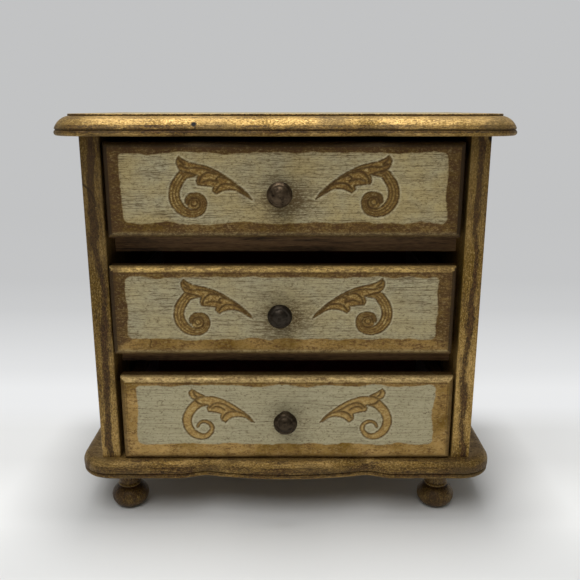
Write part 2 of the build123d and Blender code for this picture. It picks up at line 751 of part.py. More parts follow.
def barrel_cap():
    """The lid pressed into the barrel's open end."""
    end = GREAT_Y + WHEEL_T + BARREL_L
    cap = rod_y(BARREL_R - BARREL_WALL - JOINT_GAP, 0, (end - BARREL_WALL, end), TRAIN_Z)
    return cap - rod_y(KEY_ARBOR_R + ARBOR_GAP, 0, through(end - BARREL_WALL, end), TRAIN_Z)


def mainspring():
    """A strip coiled inwards from the barrel's wall, in short straight bends."""
    bends = SPRING_TURNS * SPRING_BENDS
    outer = (BARREL_R - BARREL_WALL - JOINT_GAP) - SPRING_T
    edges = []
    for thickness in (SPRING_T, 0):
        edge = []
        for i in range(bends + 1):
            r = outer + thickness - SPRING_PITCH * i / SPRING_BENDS
            at = 2 * pi * i / SPRING_BENDS
            edge.append((r * cos(at), r * sin(at)))
        edges.append(edge)
    strip = make_face(Polyline(*edges[0], *reversed(edges[1]), close=True))
    start = GREAT_Y + WHEEL_T + 2 * BARREL_WALL + END_PLAY
    end = GREAT_Y + WHEEL_T + BARREL_L - BARREL_WALL - END_PLAY
    return plate_y(strip, 0, (start, end), TRAIN_Z)


def winding_arbor():
    """The key's arbor, from the front plate out through the back panel."""
    arbor = rod_y(KEY_ARBOR_R, 0, (FRONT_PLATE_Y, CASE_D + KEY_STANDOFF + KEY_HUB_L / 2), TRAIN_Z)
    collar_y = REAR_PLATE_Y + PLATE_T + END_PLAY
    return arbor + rod_y(KEY_COLLAR_R, 0, (collar_y, collar_y + KEY_COLLAR_T), TRAIN_Z)


def winding_key():
    """A butterfly key: a hub on the arbor's end and two flat round wings."""
    hub_y = CASE_D + KEY_STANDOFF
    wing_y = hub_y + KEY_HUB_L - KEY_WING_OVERLAP + KEY_WING_R
    wings = [Pos(side * KEY_WING_X, 0) * Circle(KEY_WING_R) for side in (-1, 1)]
    waist = Pos(0, -KEY_WING_R / 2) * Rectangle(2 * KEY_WING_X, KEY_WING_R)
    sketch = joined(wings) + waist
    at = Pos(0, wing_y + FRONT_Y, TRAIN_Z - KEY_WING_T / 2)
    key = extrude(at * sketch, amount=KEY_WING_T)
    key += rod_y(KEY_HUB_R, 0, (hub_y, hub_y + KEY_HUB_L), TRAIN_Z)
    return key - rod_y(KEY_ARBOR_R + JOINT_GAP, 0, (hub_y - CUT_PAST, hub_y + KEY_HUB_L / 2), TRAIN_Z)


def cylinder_drum():
    """A thin tube with a row of pins for each comb tooth."""
    y_span = (DRUM_Y, DRUM_Y + DRUM_L)
    drum = rod_y(DRUM_R, CYLINDER_X, y_span, TRAIN_Z)
    pin_l = PIN_REACH + PIN_ROOT
    pins = []
    for row in range(PIN_ROWS):
        y = tine_middle(row)
        for i in range(PINS_PER_ROW):
            angle = row * PIN_STEP + i * 360 / PINS_PER_ROW + row * i * PIN_DRIFT
            pin = Pos(DRUM_R + (PIN_REACH - PIN_ROOT) / 2, 0, 0) * Box(pin_l, PIN_SIZE, PIN_SIZE)
            pins.append(Pos(CYLINDER_X, y + FRONT_Y, TRAIN_Z) * Rot(0, angle, 0) * pin)
    drum = drum.fuse(*pins)
    return drum - rod_y(DRUM_R - DRUM_WALL, CYLINDER_X, through(y_span[0], y_span[1]), TRAIN_Z)


def cylinder_arbor():
    """The drum's arbor: end discs, the pinion that the great wheel drives, and the drive wheel."""
    arbor = rod_y(CYLINDER_ARBOR_R, CYLINDER_X, (FRONT_PLATE_Y, REAR_PLATE_Y + PLATE_T), TRAIN_Z)
    pinion_angle = 180 + 180 / PINION_TEETH
    pinion = gear_sketch(PINION_TEETH, MODULE, pinion_angle)
    arbor += plate_y(pinion, CYLINDER_X, (GREAT_Y - END_PLAY, GREAT_Y + WHEEL_T + END_PLAY), TRAIN_Z)
    disc_r = DRUM_R - DRUM_WALL - JOINT_GAP
    for y in (DRUM_Y, DRUM_Y + DRUM_L - DISC_T):
        arbor += rod_y(disc_r, CYLINDER_X, (y, y + DISC_T), TRAIN_Z)
    arbor += rod_y(CYLINDER_SLEEVE_R, CYLINDER_X, (GREAT_Y, DRIVE_Y), TRAIN_Z)
    drive = gear_sketch(DRIVE_TEETH, MODULE, LEAF_DIRECTION)
    return arbor + plate_y(drive, CYLINDER_X, (DRIVE_Y, DRIVE_Y + WHEEL_T), TRAIN_Z)


def worm_wheel():
    """The second arbor: a leaf pinion in mesh with the drive wheel, and the worm's wheel."""
    arbor = rod_y(LEAF_ARBOR_R, LEAF_X, (FRONT_PLATE_Y, REAR_PLATE_Y + PLATE_T), LEAF_Z)
    leaf_angle = LEAF_DIRECTION + 180 + 180 / LEAF_TEETH
    leaf = gear_sketch(LEAF_TEETH, MODULE, leaf_angle)
    arbor += plate_y(leaf, LEAF_X, (DRIVE_Y - END_PLAY / 2, REAR_PLATE_Y - END_PLAY / 2), LEAF_Z)
    wheel = gear_sketch(WORM_TEETH, WORM_MODULE, 0)
    return arbor + plate_y(wheel, LEAF_X, (WORM_Y, WORM_Y + WHEEL_T), LEAF_Z)


def tine_middle(row):
    return DRUM_Y + DRUM_L / 2 + (row - (PIN_ROWS - 1) / 2) * COMB_PITCH


COMB_X = CYLINDER_X + DRUM_R + PIN_REACH + COMB_GAP
COMB_Z = TRAIN_Z - COMB_T / 2


def comb_width():
    return (tine_middle(0) - COMB_PITCH / 2, tine_middle(PIN_ROWS - 1) + COMB_PITCH / 2)


def comb_screw_places():
    low, high = comb_width()
    step = (high - low) / COMB_SCREWS
    x = COMB_X + TINE_L + COMB_SEAT_W / 2
    return [(x, low + (i + 0.5) * step) for i in range(COMB_SCREWS)]


def steel_comb():
    """The tuned comb: one tine for each row of pins, slotted back to its seat."""
    comb = block((COMB_X, COMB_X + TINE_L + COMB_SEAT_W), comb_width(), (COMB_Z, COMB_Z + COMB_T))
    slots = []
    for row in range(PIN_ROWS - 1):
        y = tine_middle(row) + COMB_PITCH / 2
        reach = COMB_X + TINE_L * (1 - TINE_TAPER * row / PIN_ROWS)
        slot_y = (y - COMB_SLOT / 2, y + COMB_SLOT / 2)
        slots.append(block((COMB_X - CUT_PAST, reach), slot_y, through(COMB_Z, COMB_Z + COMB_T)))
    comb = comb.cut(*slots)
    for x, y in comb_screw_places():
        comb -= rod_z(COMB_SCREW_R + JOINT_GAP, x, y, through(COMB_Z, COMB_Z + COMB_T))
    return comb


def comb_seat():
    """The block that holds the comb level with the cylinder's axis."""
    x_span = (COMB_X + TINE_L, COMB_X + TINE_L + COMB_SEAT_W)
    seat = block(x_span, comb_width(), (FLOOR_Z + BED_T, COMB_Z))
    for x, y in comb_screw_places():
        low = COMB_Z + COMB_T - COMB_SCREW_L - JOINT_GAP
        seat -= rod_z(COMB_SCREW_R + JOINT_GAP, x, y, (low, COMB_Z + CUT_PAST))
    return seat


def comb_screws():
    top = COMB_Z + COMB_T
    screws = []
    for x, y in comb_screw_places():
        shank = rod_z(COMB_SCREW_R, x, y, (top - COMB_SCREW_L, top))
        screws.append(shank + rod_z(COMB_HEAD_R, x, y, (top, top + COMB_HEAD_T)))
    return Compound(children=screws)


def governor_frame():
    """A bent strip with a bearing above and below the worm, riveted to the rear plate."""
    t = GOVERNOR_FRAME_T
    x_span = (GOVERNOR_X - GOVERNOR_FRAME_W / 2, GOVERNOR_X + GOVERNOR_FRAME_W / 2)
    front = GOVERNOR_Y - GOVERNOR_FRAME_FRONT
    back = GOVERNOR_Y + GOVERNOR_FRAME_BACK
    low = GOVERNOR_LOW
    strip = [
        block(x_span, (front, REAR_PLATE_Y), (GOVERNOR_Z - t, GOVERNOR_Z)),
        block(x_span, (back - t, back), (low, GOVERNOR_Z)),
        block(x_span, (front, back), (low, low + t)),
        block(x_span, (REAR_PLATE_Y - t, REAR_PLATE_Y), (GOVERNOR_Z - PLATE_EYE_R, GOVERNOR_Z)),
    ]
    hole = rod_z(GOVERNOR_ARBOR_R + ARBOR_GAP, GOVERNOR_X, GOVERNOR_Y, through(low, GOVERNOR_Z))
    return joined(strip) - hole


def governor_worm():
    """The upright arbor with its worm; the thread is too fine to model."""
    arbor = rod_z(GOVERNOR_ARBOR_R, GOVERNOR_X, GOVERNOR_Y, (GOVERNOR_LOW, GOVERNOR_Z))
    worm_low = GOVERNOR_LOW + GOVERNOR_FRAME_T + END_PLAY
    return arbor + rod_z(WORM_R, GOVERNOR_X, GOVERNOR_Y, (worm_low, FAN_Z - END_PLAY))


def governor_fan():
    """The air brake: a hub with two flat vanes."""
    hub = rod_z(FAN_HUB_R, GOVERNOR_X, GOVERNOR_Y, (FAN_Z, FAN_Z + FAN_H))
    vane_x = (GOVERNOR_X - FAN_R, GOVERNOR_X + FAN_R)
    vane_y = (GOVERNOR_Y - FAN_T / 2, GOVERNOR_Y + FAN_T / 2)
    fan = hub + block(vane_x, vane_y, (FAN_Z, FAN_Z + FAN_H))
    return fan - rod_z(GOVERNOR_ARBOR_R + JOINT_GAP, GOVERNOR_X, GOVERNOR_Y, through(FAN_Z, FAN_Z + FAN_H))


def lever_low():
    return FAN_Z + FAN_H / 2 - LEVER_T / 2


def stop_lever():
    """A flat lever: one arm has a tab behind the bottom drawer's back, the other reaches to the fan."""
    hub_x, hub_y = LEVER_AT
    outline = Circle(LEVER_HUB_R)
    for end in (LEVER_FOOT, LEVER_STOP):
        ends = (Circle(LEVER_W / 2) + Pos(*end) * Circle(LEVER_W / 2)).edges()
        outline = outline + make_hull(ends)
    lever = extrude(Pos(hub_x, hub_y + FRONT_Y, lever_low()) * outline, amount=LEVER_T)
    foot_x = hub_x + LEVER_FOOT[0]
    foot_y = hub_y + LEVER_FOOT[1]
    lever += rod_z(LEVER_W / 2, foot_x, foot_y, (lever_low() - LEVER_TAB_H, lever_low()))
    hole = through(lever_low(), lever_low() + LEVER_T)
    return lever - rod_z(LEVER_POST_R + ARBOR_GAP, hub_x, hub_y, hole)


def lever_post():
    """The pillar riveted in the bed, with a shoulder under the lever and a head over it."""
    x, y = LEVER_AT
    head_z = lever_low() + LEVER_T + END_PLAY
    post = rod_z(LEVER_POST_R, x, y, (FLOOR_Z, head_z + LEVER_HEAD_T))
    post += rod_z(LEVER_SHOULDER_R, x, y, (FLOOR_Z + BED_T, lever_low() - END_PLAY))
    return post + rod_z(LEVER_SHOULDER_R, x, y, (head_z, head_z + LEVER_HEAD_T))


def movement_screws():
    screws = []
    for x, y in bed_screw_places():
        shank = rod_z(BED_SCREW_R, x, y, (FOOT_H, FLOOR_Z + BED_T))
        screws.append(shank + rod_z(BED_HEAD_R, x, y, (FOOT_H, FOOT_H + BED_HEAD_T)))
    return Compound(children=screws)


# Every piece by name

def all_pieces():
    pieces = {
        "top_board": top_board(),
        "base_board": base_board(),
        "side_left": side_panel(-1),
        "side_right": side_panel(1),
        "back_panel": back_panel(),
        "shelf_lower": shelf(shelf_bottoms()[0]),
        "shelf_upper": shelf(shelf_bottoms()[1]),
        "back_brads": back_brads(),
        "side_screws": side_screws(),
        "top_dowels": top_dowels(),
    }
    for x, y, name in foot_places():
        pieces["foot_" + name] = foot(x, y)
    for name, bay, lift, depth, shift, knob in DRAWERS:
        z = bay_floors()[bay]
        drawer = "drawer_" + name
        pieces[drawer + "_front"] = drawer_front(z, lift, shift, knob)
        pieces[drawer + "_side_left"] = drawer_side(-1, z, depth, shift)
        pieces[drawer + "_side_right"] = drawer_side(1, z, depth, shift)
        pieces[drawer + "_floor"] = drawer_floor(z, depth, shift)
        pieces[drawer + "_back"] = drawer_back(z, depth, shift)
        pieces[drawer + "_lining"] = drawer_lining(z, depth, shift)
        pieces[drawer + "_knob"] = drawer_knob(z, lift, shift, knob)
        pieces[drawer + "_knob_screw"] = drawer_knob_screw(z, lift, shift, knob)
    for make in (
        bedplate, front_plate, rear_plate, spring_barrel, barrel_cap, mainspring,
        winding_arbor, winding_key, cylinder_drum, cylinder_arbor, worm_wheel,
        steel_comb, comb_seat, comb_screws, governor_frame, governor_worm, governor_fan,
        stop_lever, lever_post, movement_screws,
    ):
        pieces[make.__name__] = make()
    return pieces


os.makedirs("parts", exist_ok=True)
for piece_name, solid in all_pieces().items():
    export_step(solid, "parts/" + piece_name + ".step")
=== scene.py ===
"""A gilt and painted musical jewellery chest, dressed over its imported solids.

The file is laid out as an add-on and is run as a script. Lengths are metres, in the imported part's frame.
"""

import bmesh
import bpy
import numpy as np
from bpy.props import FloatProperty, FloatVectorProperty, IntProperty, PointerProperty
from mathutils import Euler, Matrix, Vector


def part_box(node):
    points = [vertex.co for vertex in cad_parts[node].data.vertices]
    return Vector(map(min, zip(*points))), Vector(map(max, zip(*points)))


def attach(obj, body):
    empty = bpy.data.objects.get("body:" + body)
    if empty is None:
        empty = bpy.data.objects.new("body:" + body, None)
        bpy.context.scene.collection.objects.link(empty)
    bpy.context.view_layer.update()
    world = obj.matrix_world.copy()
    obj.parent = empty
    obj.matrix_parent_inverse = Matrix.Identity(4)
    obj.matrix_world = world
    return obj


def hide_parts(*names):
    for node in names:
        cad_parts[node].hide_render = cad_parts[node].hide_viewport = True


bl_info = {
    "name": "Musical jewellery chest",
    "version": (1, 0, 0),
    "blender": (4, 5, 0),
    "location": "View3D > Sidebar > Chest",
    "description": "Builds the boards, painted fronts, knobs, feet, velvet and finishes of a small chest",
    "category": "Object",
}

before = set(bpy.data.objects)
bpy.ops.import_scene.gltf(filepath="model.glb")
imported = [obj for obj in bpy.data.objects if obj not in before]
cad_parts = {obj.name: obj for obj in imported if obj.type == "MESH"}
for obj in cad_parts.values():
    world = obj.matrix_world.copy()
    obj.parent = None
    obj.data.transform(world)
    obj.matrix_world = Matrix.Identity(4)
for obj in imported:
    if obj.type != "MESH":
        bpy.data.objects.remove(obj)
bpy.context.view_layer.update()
MM = 0.001


def linear(hex_colour):
    """Linear red, green, blue and alpha from an sRGB hex value: straight up to a knee, then a power."""
    knee = 0.04045
    values = [int(hex_colour[i:i + 2], 16) / 255 for i in (1, 3, 5)]
    turned = [v / 12.92 if v <= knee else ((v + 0.055) / 1.055) ** 2.4 for v in values]
    return (*turned, 1.0)


def length(name, description, millimetres):
    """A length property, shown in the scene's units."""
    return FloatProperty(name=name, description=description, default=millimetres * MM, min=0.0,
                         precision=5, subtype="DISTANCE", unit="LENGTH")


def paint(name, description, hex_colour):
    """A colour property."""
    return FloatVectorProperty(name=name, description=description, size=4, min=0.0, max=1.0,
                               subtype="COLOR", default=linear(hex_colour))


# What a user would change

class BoardSizes(bpy.types.PropertyGroup):
    bow_sag: length("Bow sag", "How far the middle bow stands before the dips", 4.8)
    ear_reach: length("Ear setback", "How far the flat ears stand behind the bow", 1.0)
    dip_x: length("Dip place", "Distance of each dip from the middle", 44.0)
    dip_radius: length("Dip radius", "Hollow rounding at each dip", 8.0)
    ear_x: length("Ear place", "Distance from the middle to where each ear starts", 56.0)
    ear_radius: length("Ear radius", "Rounding where each ear starts", 10.0)
    corner_radius: length("Corner radius", "Rounding of the front corners", 18.0)
    top_spread: length("Top spread", "How far the top board stands out beyond the base board", 1.9)
    bead_height: length("Bead height", "Height of the lower bead", 2.9)
    bead_inset: length("Bead setback", "How far the bead stands behind the ovolo's outline", 0.2)
    quirk: length("Quirk", "Height of the groove between bead and ovolo", 0.4)
    quirk_depth: length("Quirk depth", "How far the groove runs in", 0.75)
    top_ovolo: length("Top ovolo radius", "Quarter-round of the top board", 9.0)
    top_ovolo_height: length("Top ovolo height", "Height of the top board's ovolo", 6.2)
    base_ovolo: length("Base ovolo radius", "Quarter-round of the base board", 5.0)
    base_ovolo_height: length("Base ovolo height", "Height of the base board's ovolo", 7.1)
    field_inset: length("Field setback", "How far the raised field stands in", 7.3)
    dent: length("Dents", "Depth of the shallow dents", 0.22)


class FrontSizes(bpy.types.PropertyGroup):
    rim: length("Rim radius", "Rounding round the front", 2.8)
    slab: length("Slab thickness", "Full-size part of the front before its laps", 5.0)
    lap: length("Lap width", "Width that the box sides lap into", 5.0)
    step: length("Grid step", "Spacing of the relief grid", 0.34)
    relief: length("Relief", "How far the gilt scrolls stand proud", 0.16)
    groove: length("Groove", "Depth of the incised outlines", 0.30)
    line_width: length("Line width", "Width of the incised outlines", 0.62)
    ripple: length("Border ripple", "How far the border's painted edge wanders", 0.75)


class TurnedSizes(bpy.types.PropertyGroup):
    around: IntProperty(name="Steps around", description="Grid steps round each piece", default=96, min=12)
    knob_dent: length("Knob dents", "Unevenness of the cast knobs", 0.05)
    foot_dent: length("Foot dents", "Unevenness of the turned feet", 0.10)


class LiningSizes(bpy.types.PropertyGroup):
    thickness: length("Pad thickness", "Velvet and wadding on the drawer's walls", 1.2)
    crown: length("Crown", "How far the padded floor swells", 0.9)
    roll: length("Rolled edge", "Radius of the rolled upper edge", 0.6)


class ChestColours(bpy.types.PropertyGroup):
    gold_bright: paint("Bright gold", "Rubbed gold leaf", "#CFAA68")
    gold_deep: paint("Deep gold", "Leaf in shade and in hollows", "#886928")
    patina: paint("Patina", "Dark wax rubbed over the gold", "#33230D")
    bole: paint("Bole", "Red-brown clay ground where the leaf is worn through", "#5E3B1D")
    dust: paint("Dust", "Grey-brown bloom of old wax and dust", "#66532F")
    cream: paint("Cream", "Distressed cream paint", "#C0AD79")
    cream_grey: paint("Grey cream", "Cream paint where the glaze is thin", "#BEB593")
    streak: paint("Streak", "Dark glaze left in the brush marks", "#5E4B2A")
    incised: paint("Incised line", "Dark glaze in the grooves", "#4A3216")
    velvet: paint("Velvet", "Short-pile cotton velvet", "#5E1218")


# Meshes

def grid_quads(rows, columns, close_columns=False):
    """Quads of a grid of rows x columns points, in row-major order, each row joined end to end if asked."""
    r = np.arange(rows - 1)[:, None]
    c = np.arange(columns if close_columns else columns - 1)[None, :]
    r_next = r + 1
    c_next = (c + 1) % columns
    corners = [r * columns + c, r * columns + c_next, r_next * columns + c_next, r_next * columns + c]
    return np.stack([corner.ravel() for corner in corners], axis=1)


def piece_from(name, points, faces, marks=None, sharp_angle=None):
    """A mesh object at the origin from points and faces, with a float attribute for each entry of marks.

    Doubles are merged, which closes seams and poles, and the normals are then made to face outwards."""
    mesh = bpy.data.meshes.new(name)
    mesh.from_pydata(np.asarray(points, dtype=float).reshape(-1, 3).tolist(), [], faces)
    for mark, values in (marks or {}).items():
        layer = mesh.attributes.new(mark, "FLOAT", "POINT")
        layer.data.foreach_set("value", np.asarray(values, dtype=np.float32).ravel())
    work = bmesh.new()
    work.from_mesh(mesh)
    bmesh.ops.remove_doubles(work, verts=work.verts, dist=0.0005 * MM)
    bmesh.ops.recalc_face_normals(work, faces=work.faces)
    work.to_mesh(mesh)
    work.free()
    mesh.shade_smooth()
    if sharp_angle is not None:
        mesh.set_sharp_from_angle(angle=sharp_angle)
    piece = bpy.data.objects.new(name, mesh)
    bpy.context.scene.collection.objects.link(piece)
    return piece


def waves(points, size, seed):
    """A smooth random field of about -1 to 1: the mean of sine waves of about that length, in random ways."""
    count = 14
    chance = np.random.default_rng(seed)
    ways = chance.normal(size=(count, points.shape[-1]))
    ways /= np.linalg.norm(ways, axis=1, keepdims=True)
    pitch = 2 * np.pi / size * chance.uniform(0.6, 1.6, size=(count, 1))
    phase = chance.uniform(0, 2 * np.pi, size=count)
    return np.sin(points @ (ways * pitch).T + phase).sum(axis=-1) / np.sqrt(count / 2) / 2


def smooth_step(value, low, high):
    """0 below low, 1 above high, and an S-curve between."""
    t = np.clip((value - low) / (high - low), 0, 1)
    return t * t * (3 - 2 * t)


def flowing(points, steps=8):
    """A smooth Catmull-Rom line through the points: each span is a cubic of its ends and their neighbours."""
    p = np.asarray(points, dtype=float)
    p = np.vstack([2 * p[0] - p[1], p, 2 * p[-1] - p[-2]])
    t = np.linspace(0, 1, steps, endpoint=False)[None, :, None]
    a, b, c, d = (p[i:len(p) - 3 + i, None, :] for i in range(4))
    line = 0.5 * (2 * b + (c - a) * t + (2 * a - 5 * b + 4 * c - d) * t**2 + (3 * b - a - 3 * c + d) * t**3)
    return np.vstack([line.reshape(-1, p.shape[1]), p[-2]])


def evenly(path, spacing):
    """The path's points again, at even spacing along it."""
    run = np.concatenate([[0], np.cumsum(np.linalg.norm(np.diff(path, axis=0), axis=1))])
    at = np.linspace(0, run[-1], max(2, int(round(run[-1] / spacing)) + 1))
    return np.stack([np.interp(at, run, path[:, i]) for i in range(path.shape[1])], axis=1)


def arc(centre, radius, start, end, steps):
    """Points on a circle, with angles in degrees."""
    at = np.radians(np.linspace(start, end, steps))
    return np.stack([centre[0] + radius * np.cos(at), centre[1] + radius * np.sin(at)], axis=1)


def lathe(profile, around):
    """A profile of (radius, height) turned about the height axis: (r cos a, r sin a, h)."""
    at = np.linspace(0, 2 * np.pi, around, endpoint=False)
    r = profile[:, 0][:, None]
    flat = [r * np.cos(at), r * np.sin(at), np.broadcast_to(profile[:, 1][:, None], (len(profile), around))]
    return np.stack(flat, axis=-1)


def middle_of(low, high):
    """The middle of a box's x, y and z."""
    return [(a + b) / 2 for a, b in zip(low, high)]


def hand_in(piece, body, slot, *nodes):
    """Puts the new piece on the body it rides on and hides the CAD nodes it stands for. The slot is not used.
    """
    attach(piece, body)
    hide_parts(*nodes)


def finish_with(piece, material):
    piece.data.materials.clear()
    piece.data.materials.append(material)


def dress(nodes, material):
    """Gives carried-over CAD nodes their finish."""
    for node in nodes:
        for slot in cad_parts[node].material_slots:
            slot.link = "OBJECT"
            slot.material = material


# Materials

# How long the gilder's brush streaks run, in millimetres
BRUSH_RUN = 9.0
# Waxed leaf and paint shine less than bare varnish
WAXED_SHINE = 0.3


def math_step(operation):
    """A method for signals that adds one math node and gives its output."""
    def step(self, other=0.0):
        node = add_node(self.socket.id_data, "ShaderNodeMath", {"operation": operation}, {0: self, 1: other})
        return Signal(node.outputs["Value"])
    return step


class Signal:
    """A node's output that a material can reckon with: each step of arithmetic adds one math node."""
    __add__ = math_step("ADD")
    __sub__ = math_step("SUBTRACT")
    __mul__ = math_step("MULTIPLY")
    __truediv__ = math_step("DIVIDE")
    __pow__ = math_step("POWER")
    __abs__ = math_step("ABSOLUTE")
    __lt__ = math_step("LESS_THAN")
    __gt__ = math_step("GREATER_THAN")
    larger = math_step("MAXIMUM")

    def __init__(self, socket):
        self.socket = socket

    def clamped(self):
        """Keeps the last step between 0 and 1."""
        self.socket.node.use_clamp = True
        return self


def put(socket, value):
    """Links a signal to an input, or sets the input to a fixed value."""
    if isinstance(value, Signal):
        socket.id_data.links.new(value.socket, socket)
    else:
        socket.default_value = value


def feed(node, inputs):
    """Links or sets inputs of a node, which go by name or by place."""
    for key, value in inputs.items():
        put(node.inputs[key], value)


def add_node(tree, kind, settings=None, inputs=None):
    """Adds a node, sets its properties, and links or sets its inputs."""
    node = tree.nodes.new(kind)
    for key, value in (settings or {}).items():
        setattr(node, key, value)
    feed(node, inputs or {})
    return node


def new_material(name):
    """An empty node material with its shader and output: returns the material, its tree and the shader."""
    material = bpy.data.materials.new(name)
    material.use_nodes = True
    tree = material.node_tree
    tree.nodes.clear()
    shader = add_node(tree, "ShaderNodeBsdfPrincipled")
    add_node(tree, "ShaderNodeOutputMaterial", inputs={"Surface": Signal(shader.outputs["BSDF"])})
    return material, tree, shader


def object_place(tree, stretch=(1.0, 1.0, 1.0)):
    """Object coordinates, divided by the stretch along each axis."""
    place = Signal(add_node(tree, "ShaderNodeTexCoord").outputs["Object"])
    scale = tuple(1 / s for s in stretch)
    mapping = add_node(tree, "ShaderNodeMapping", {"vector_type": "POINT"}, {"Vector": place, "Scale": scale})
    return Signal(mapping.outputs["Vector"])


def axes(tree):
    """The x, y and z of the object coordinates."""
    split = add_node(tree, "ShaderNodeSeparateXYZ", inputs={"Vector": object_place(tree)})
    return [Signal(split.outputs[axis]) for axis in "XYZ"]


def stretched(along, factor):
    """A stretch by that factor along one axis."""
    return tuple(factor if axis == along else 1.0 for axis in "XYZ")


def grain(tree, millimetres, detail=3.0, rough=0.55, distort=0.0, stretch=(1.0, 1.0, 1.0)):
    """Noise from 0 to 1 whose cells are about that many millimetres across, times the stretch."""
    inputs = {"Vector": object_place(tree, stretch), "Scale": 1 / (millimetres * MM), "Detail": detail,
              "Roughness": rough, "Distortion": distort}
    return Signal(add_node(tree, "ShaderNodeTexNoise", {"noise_dimensions": "3D"}, inputs).outputs["Fac"])


def ramp(value, *stops):
    """A grey ramp: stops of (place, brightness)."""
    node = add_node(value.socket.id_data, "ShaderNodeValToRGB", inputs={"Fac": value})
    elements = node.color_ramp.elements
    while len(elements) < len(stops):
        elements.new(0.5)
    for element, (place, grey) in zip(elements, stops):
        element.position = place
        element.color = (grey, grey, grey, 1)
    return Signal(node.outputs["Color"])


def coats(tree, colour, *layers, kind="MIX"):
    """A colour with coats laid over it: each is a share and a colour, as signals or as fixed values."""
    settings = {"data_type": "RGBA", "blend_type": kind, "clamp_factor": True}
    for share, coat in layers:
        colour = Signal(add_node(tree, "ShaderNodeMix", settings, {0: share, 6: colour, 7: coat}).outputs[2])
    return colour


def mark(tree, name):
    """A float attribute of the piece."""
    return Signal(add_node(tree, "ShaderNodeAttribute", {"attribute_name": name}).outputs["Fac"])


def raised(tree, shader, height, depth_mm):
    """Fine relief in the shader, of that depth."""
    inputs = {"Height": height, "Strength": 1.0, "Distance": depth_mm * MM}
    put(shader.inputs["Normal"], Signal(add_node(tree, "ShaderNodeBump", inputs=inputs).outputs["Normal"]))


def near(tree, spot, reach):
    """1 at a spot in the piece, falling to 0 at that reach."""
    inputs = {0: object_place(tree), 1: spot}
    away = Signal(add_node(tree, "ShaderNodeVectorMath", {"operation": "DISTANCE"}, inputs).outputs["Value"])
    return ramp(away / reach, (0.55, 1.0), (1.0, 0.0))


def curved_scratch(tree, circle):
    """1 on the upper half of a circle of (x, z, radius), on faces at the very front."""
    centre_x, centre_z, radius = circle
    x, y, z = axes(tree)
    across, up = x - centre_x, z - centre_z
    off = abs((across * across + up * up) ** 0.5 - radius)
    thin = ramp(off * (1 / MM), (0.25, 0.85), (0.75, 0.0))
    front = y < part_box("side_left")[0].y + 0.4 * MM
    return thin * front * (up > 0)


def painted_panel(tree, colours, panel):
    """A rectangle of streaked cream paint with a hand-painted edge: gives its share and its colour.

    The panel is (half width, half depth, middle along y, lowest height), in metres."""
    half_x, half_y, middle_y, level = panel
    x, y, z = axes(tree)
    edge = (abs(x) - half_x).larger(abs(y - middle_y) - half_y)
    ripple = (grain(tree, 14.0, 2.0) - 0.5) * (5 * MM)
    within = edge + ripple < 0
    brush = grain(tree, 0.4, 3.0, 0.7, stretch=(20.0, 1.0, 1.0))
    cream = coats(tree, colours.cream_grey, (0.35, colours.streak),
                  (ramp(brush, (0.46, 0.0), (0.68, 0.7)), colours.streak))
    return within * (z > level), cream


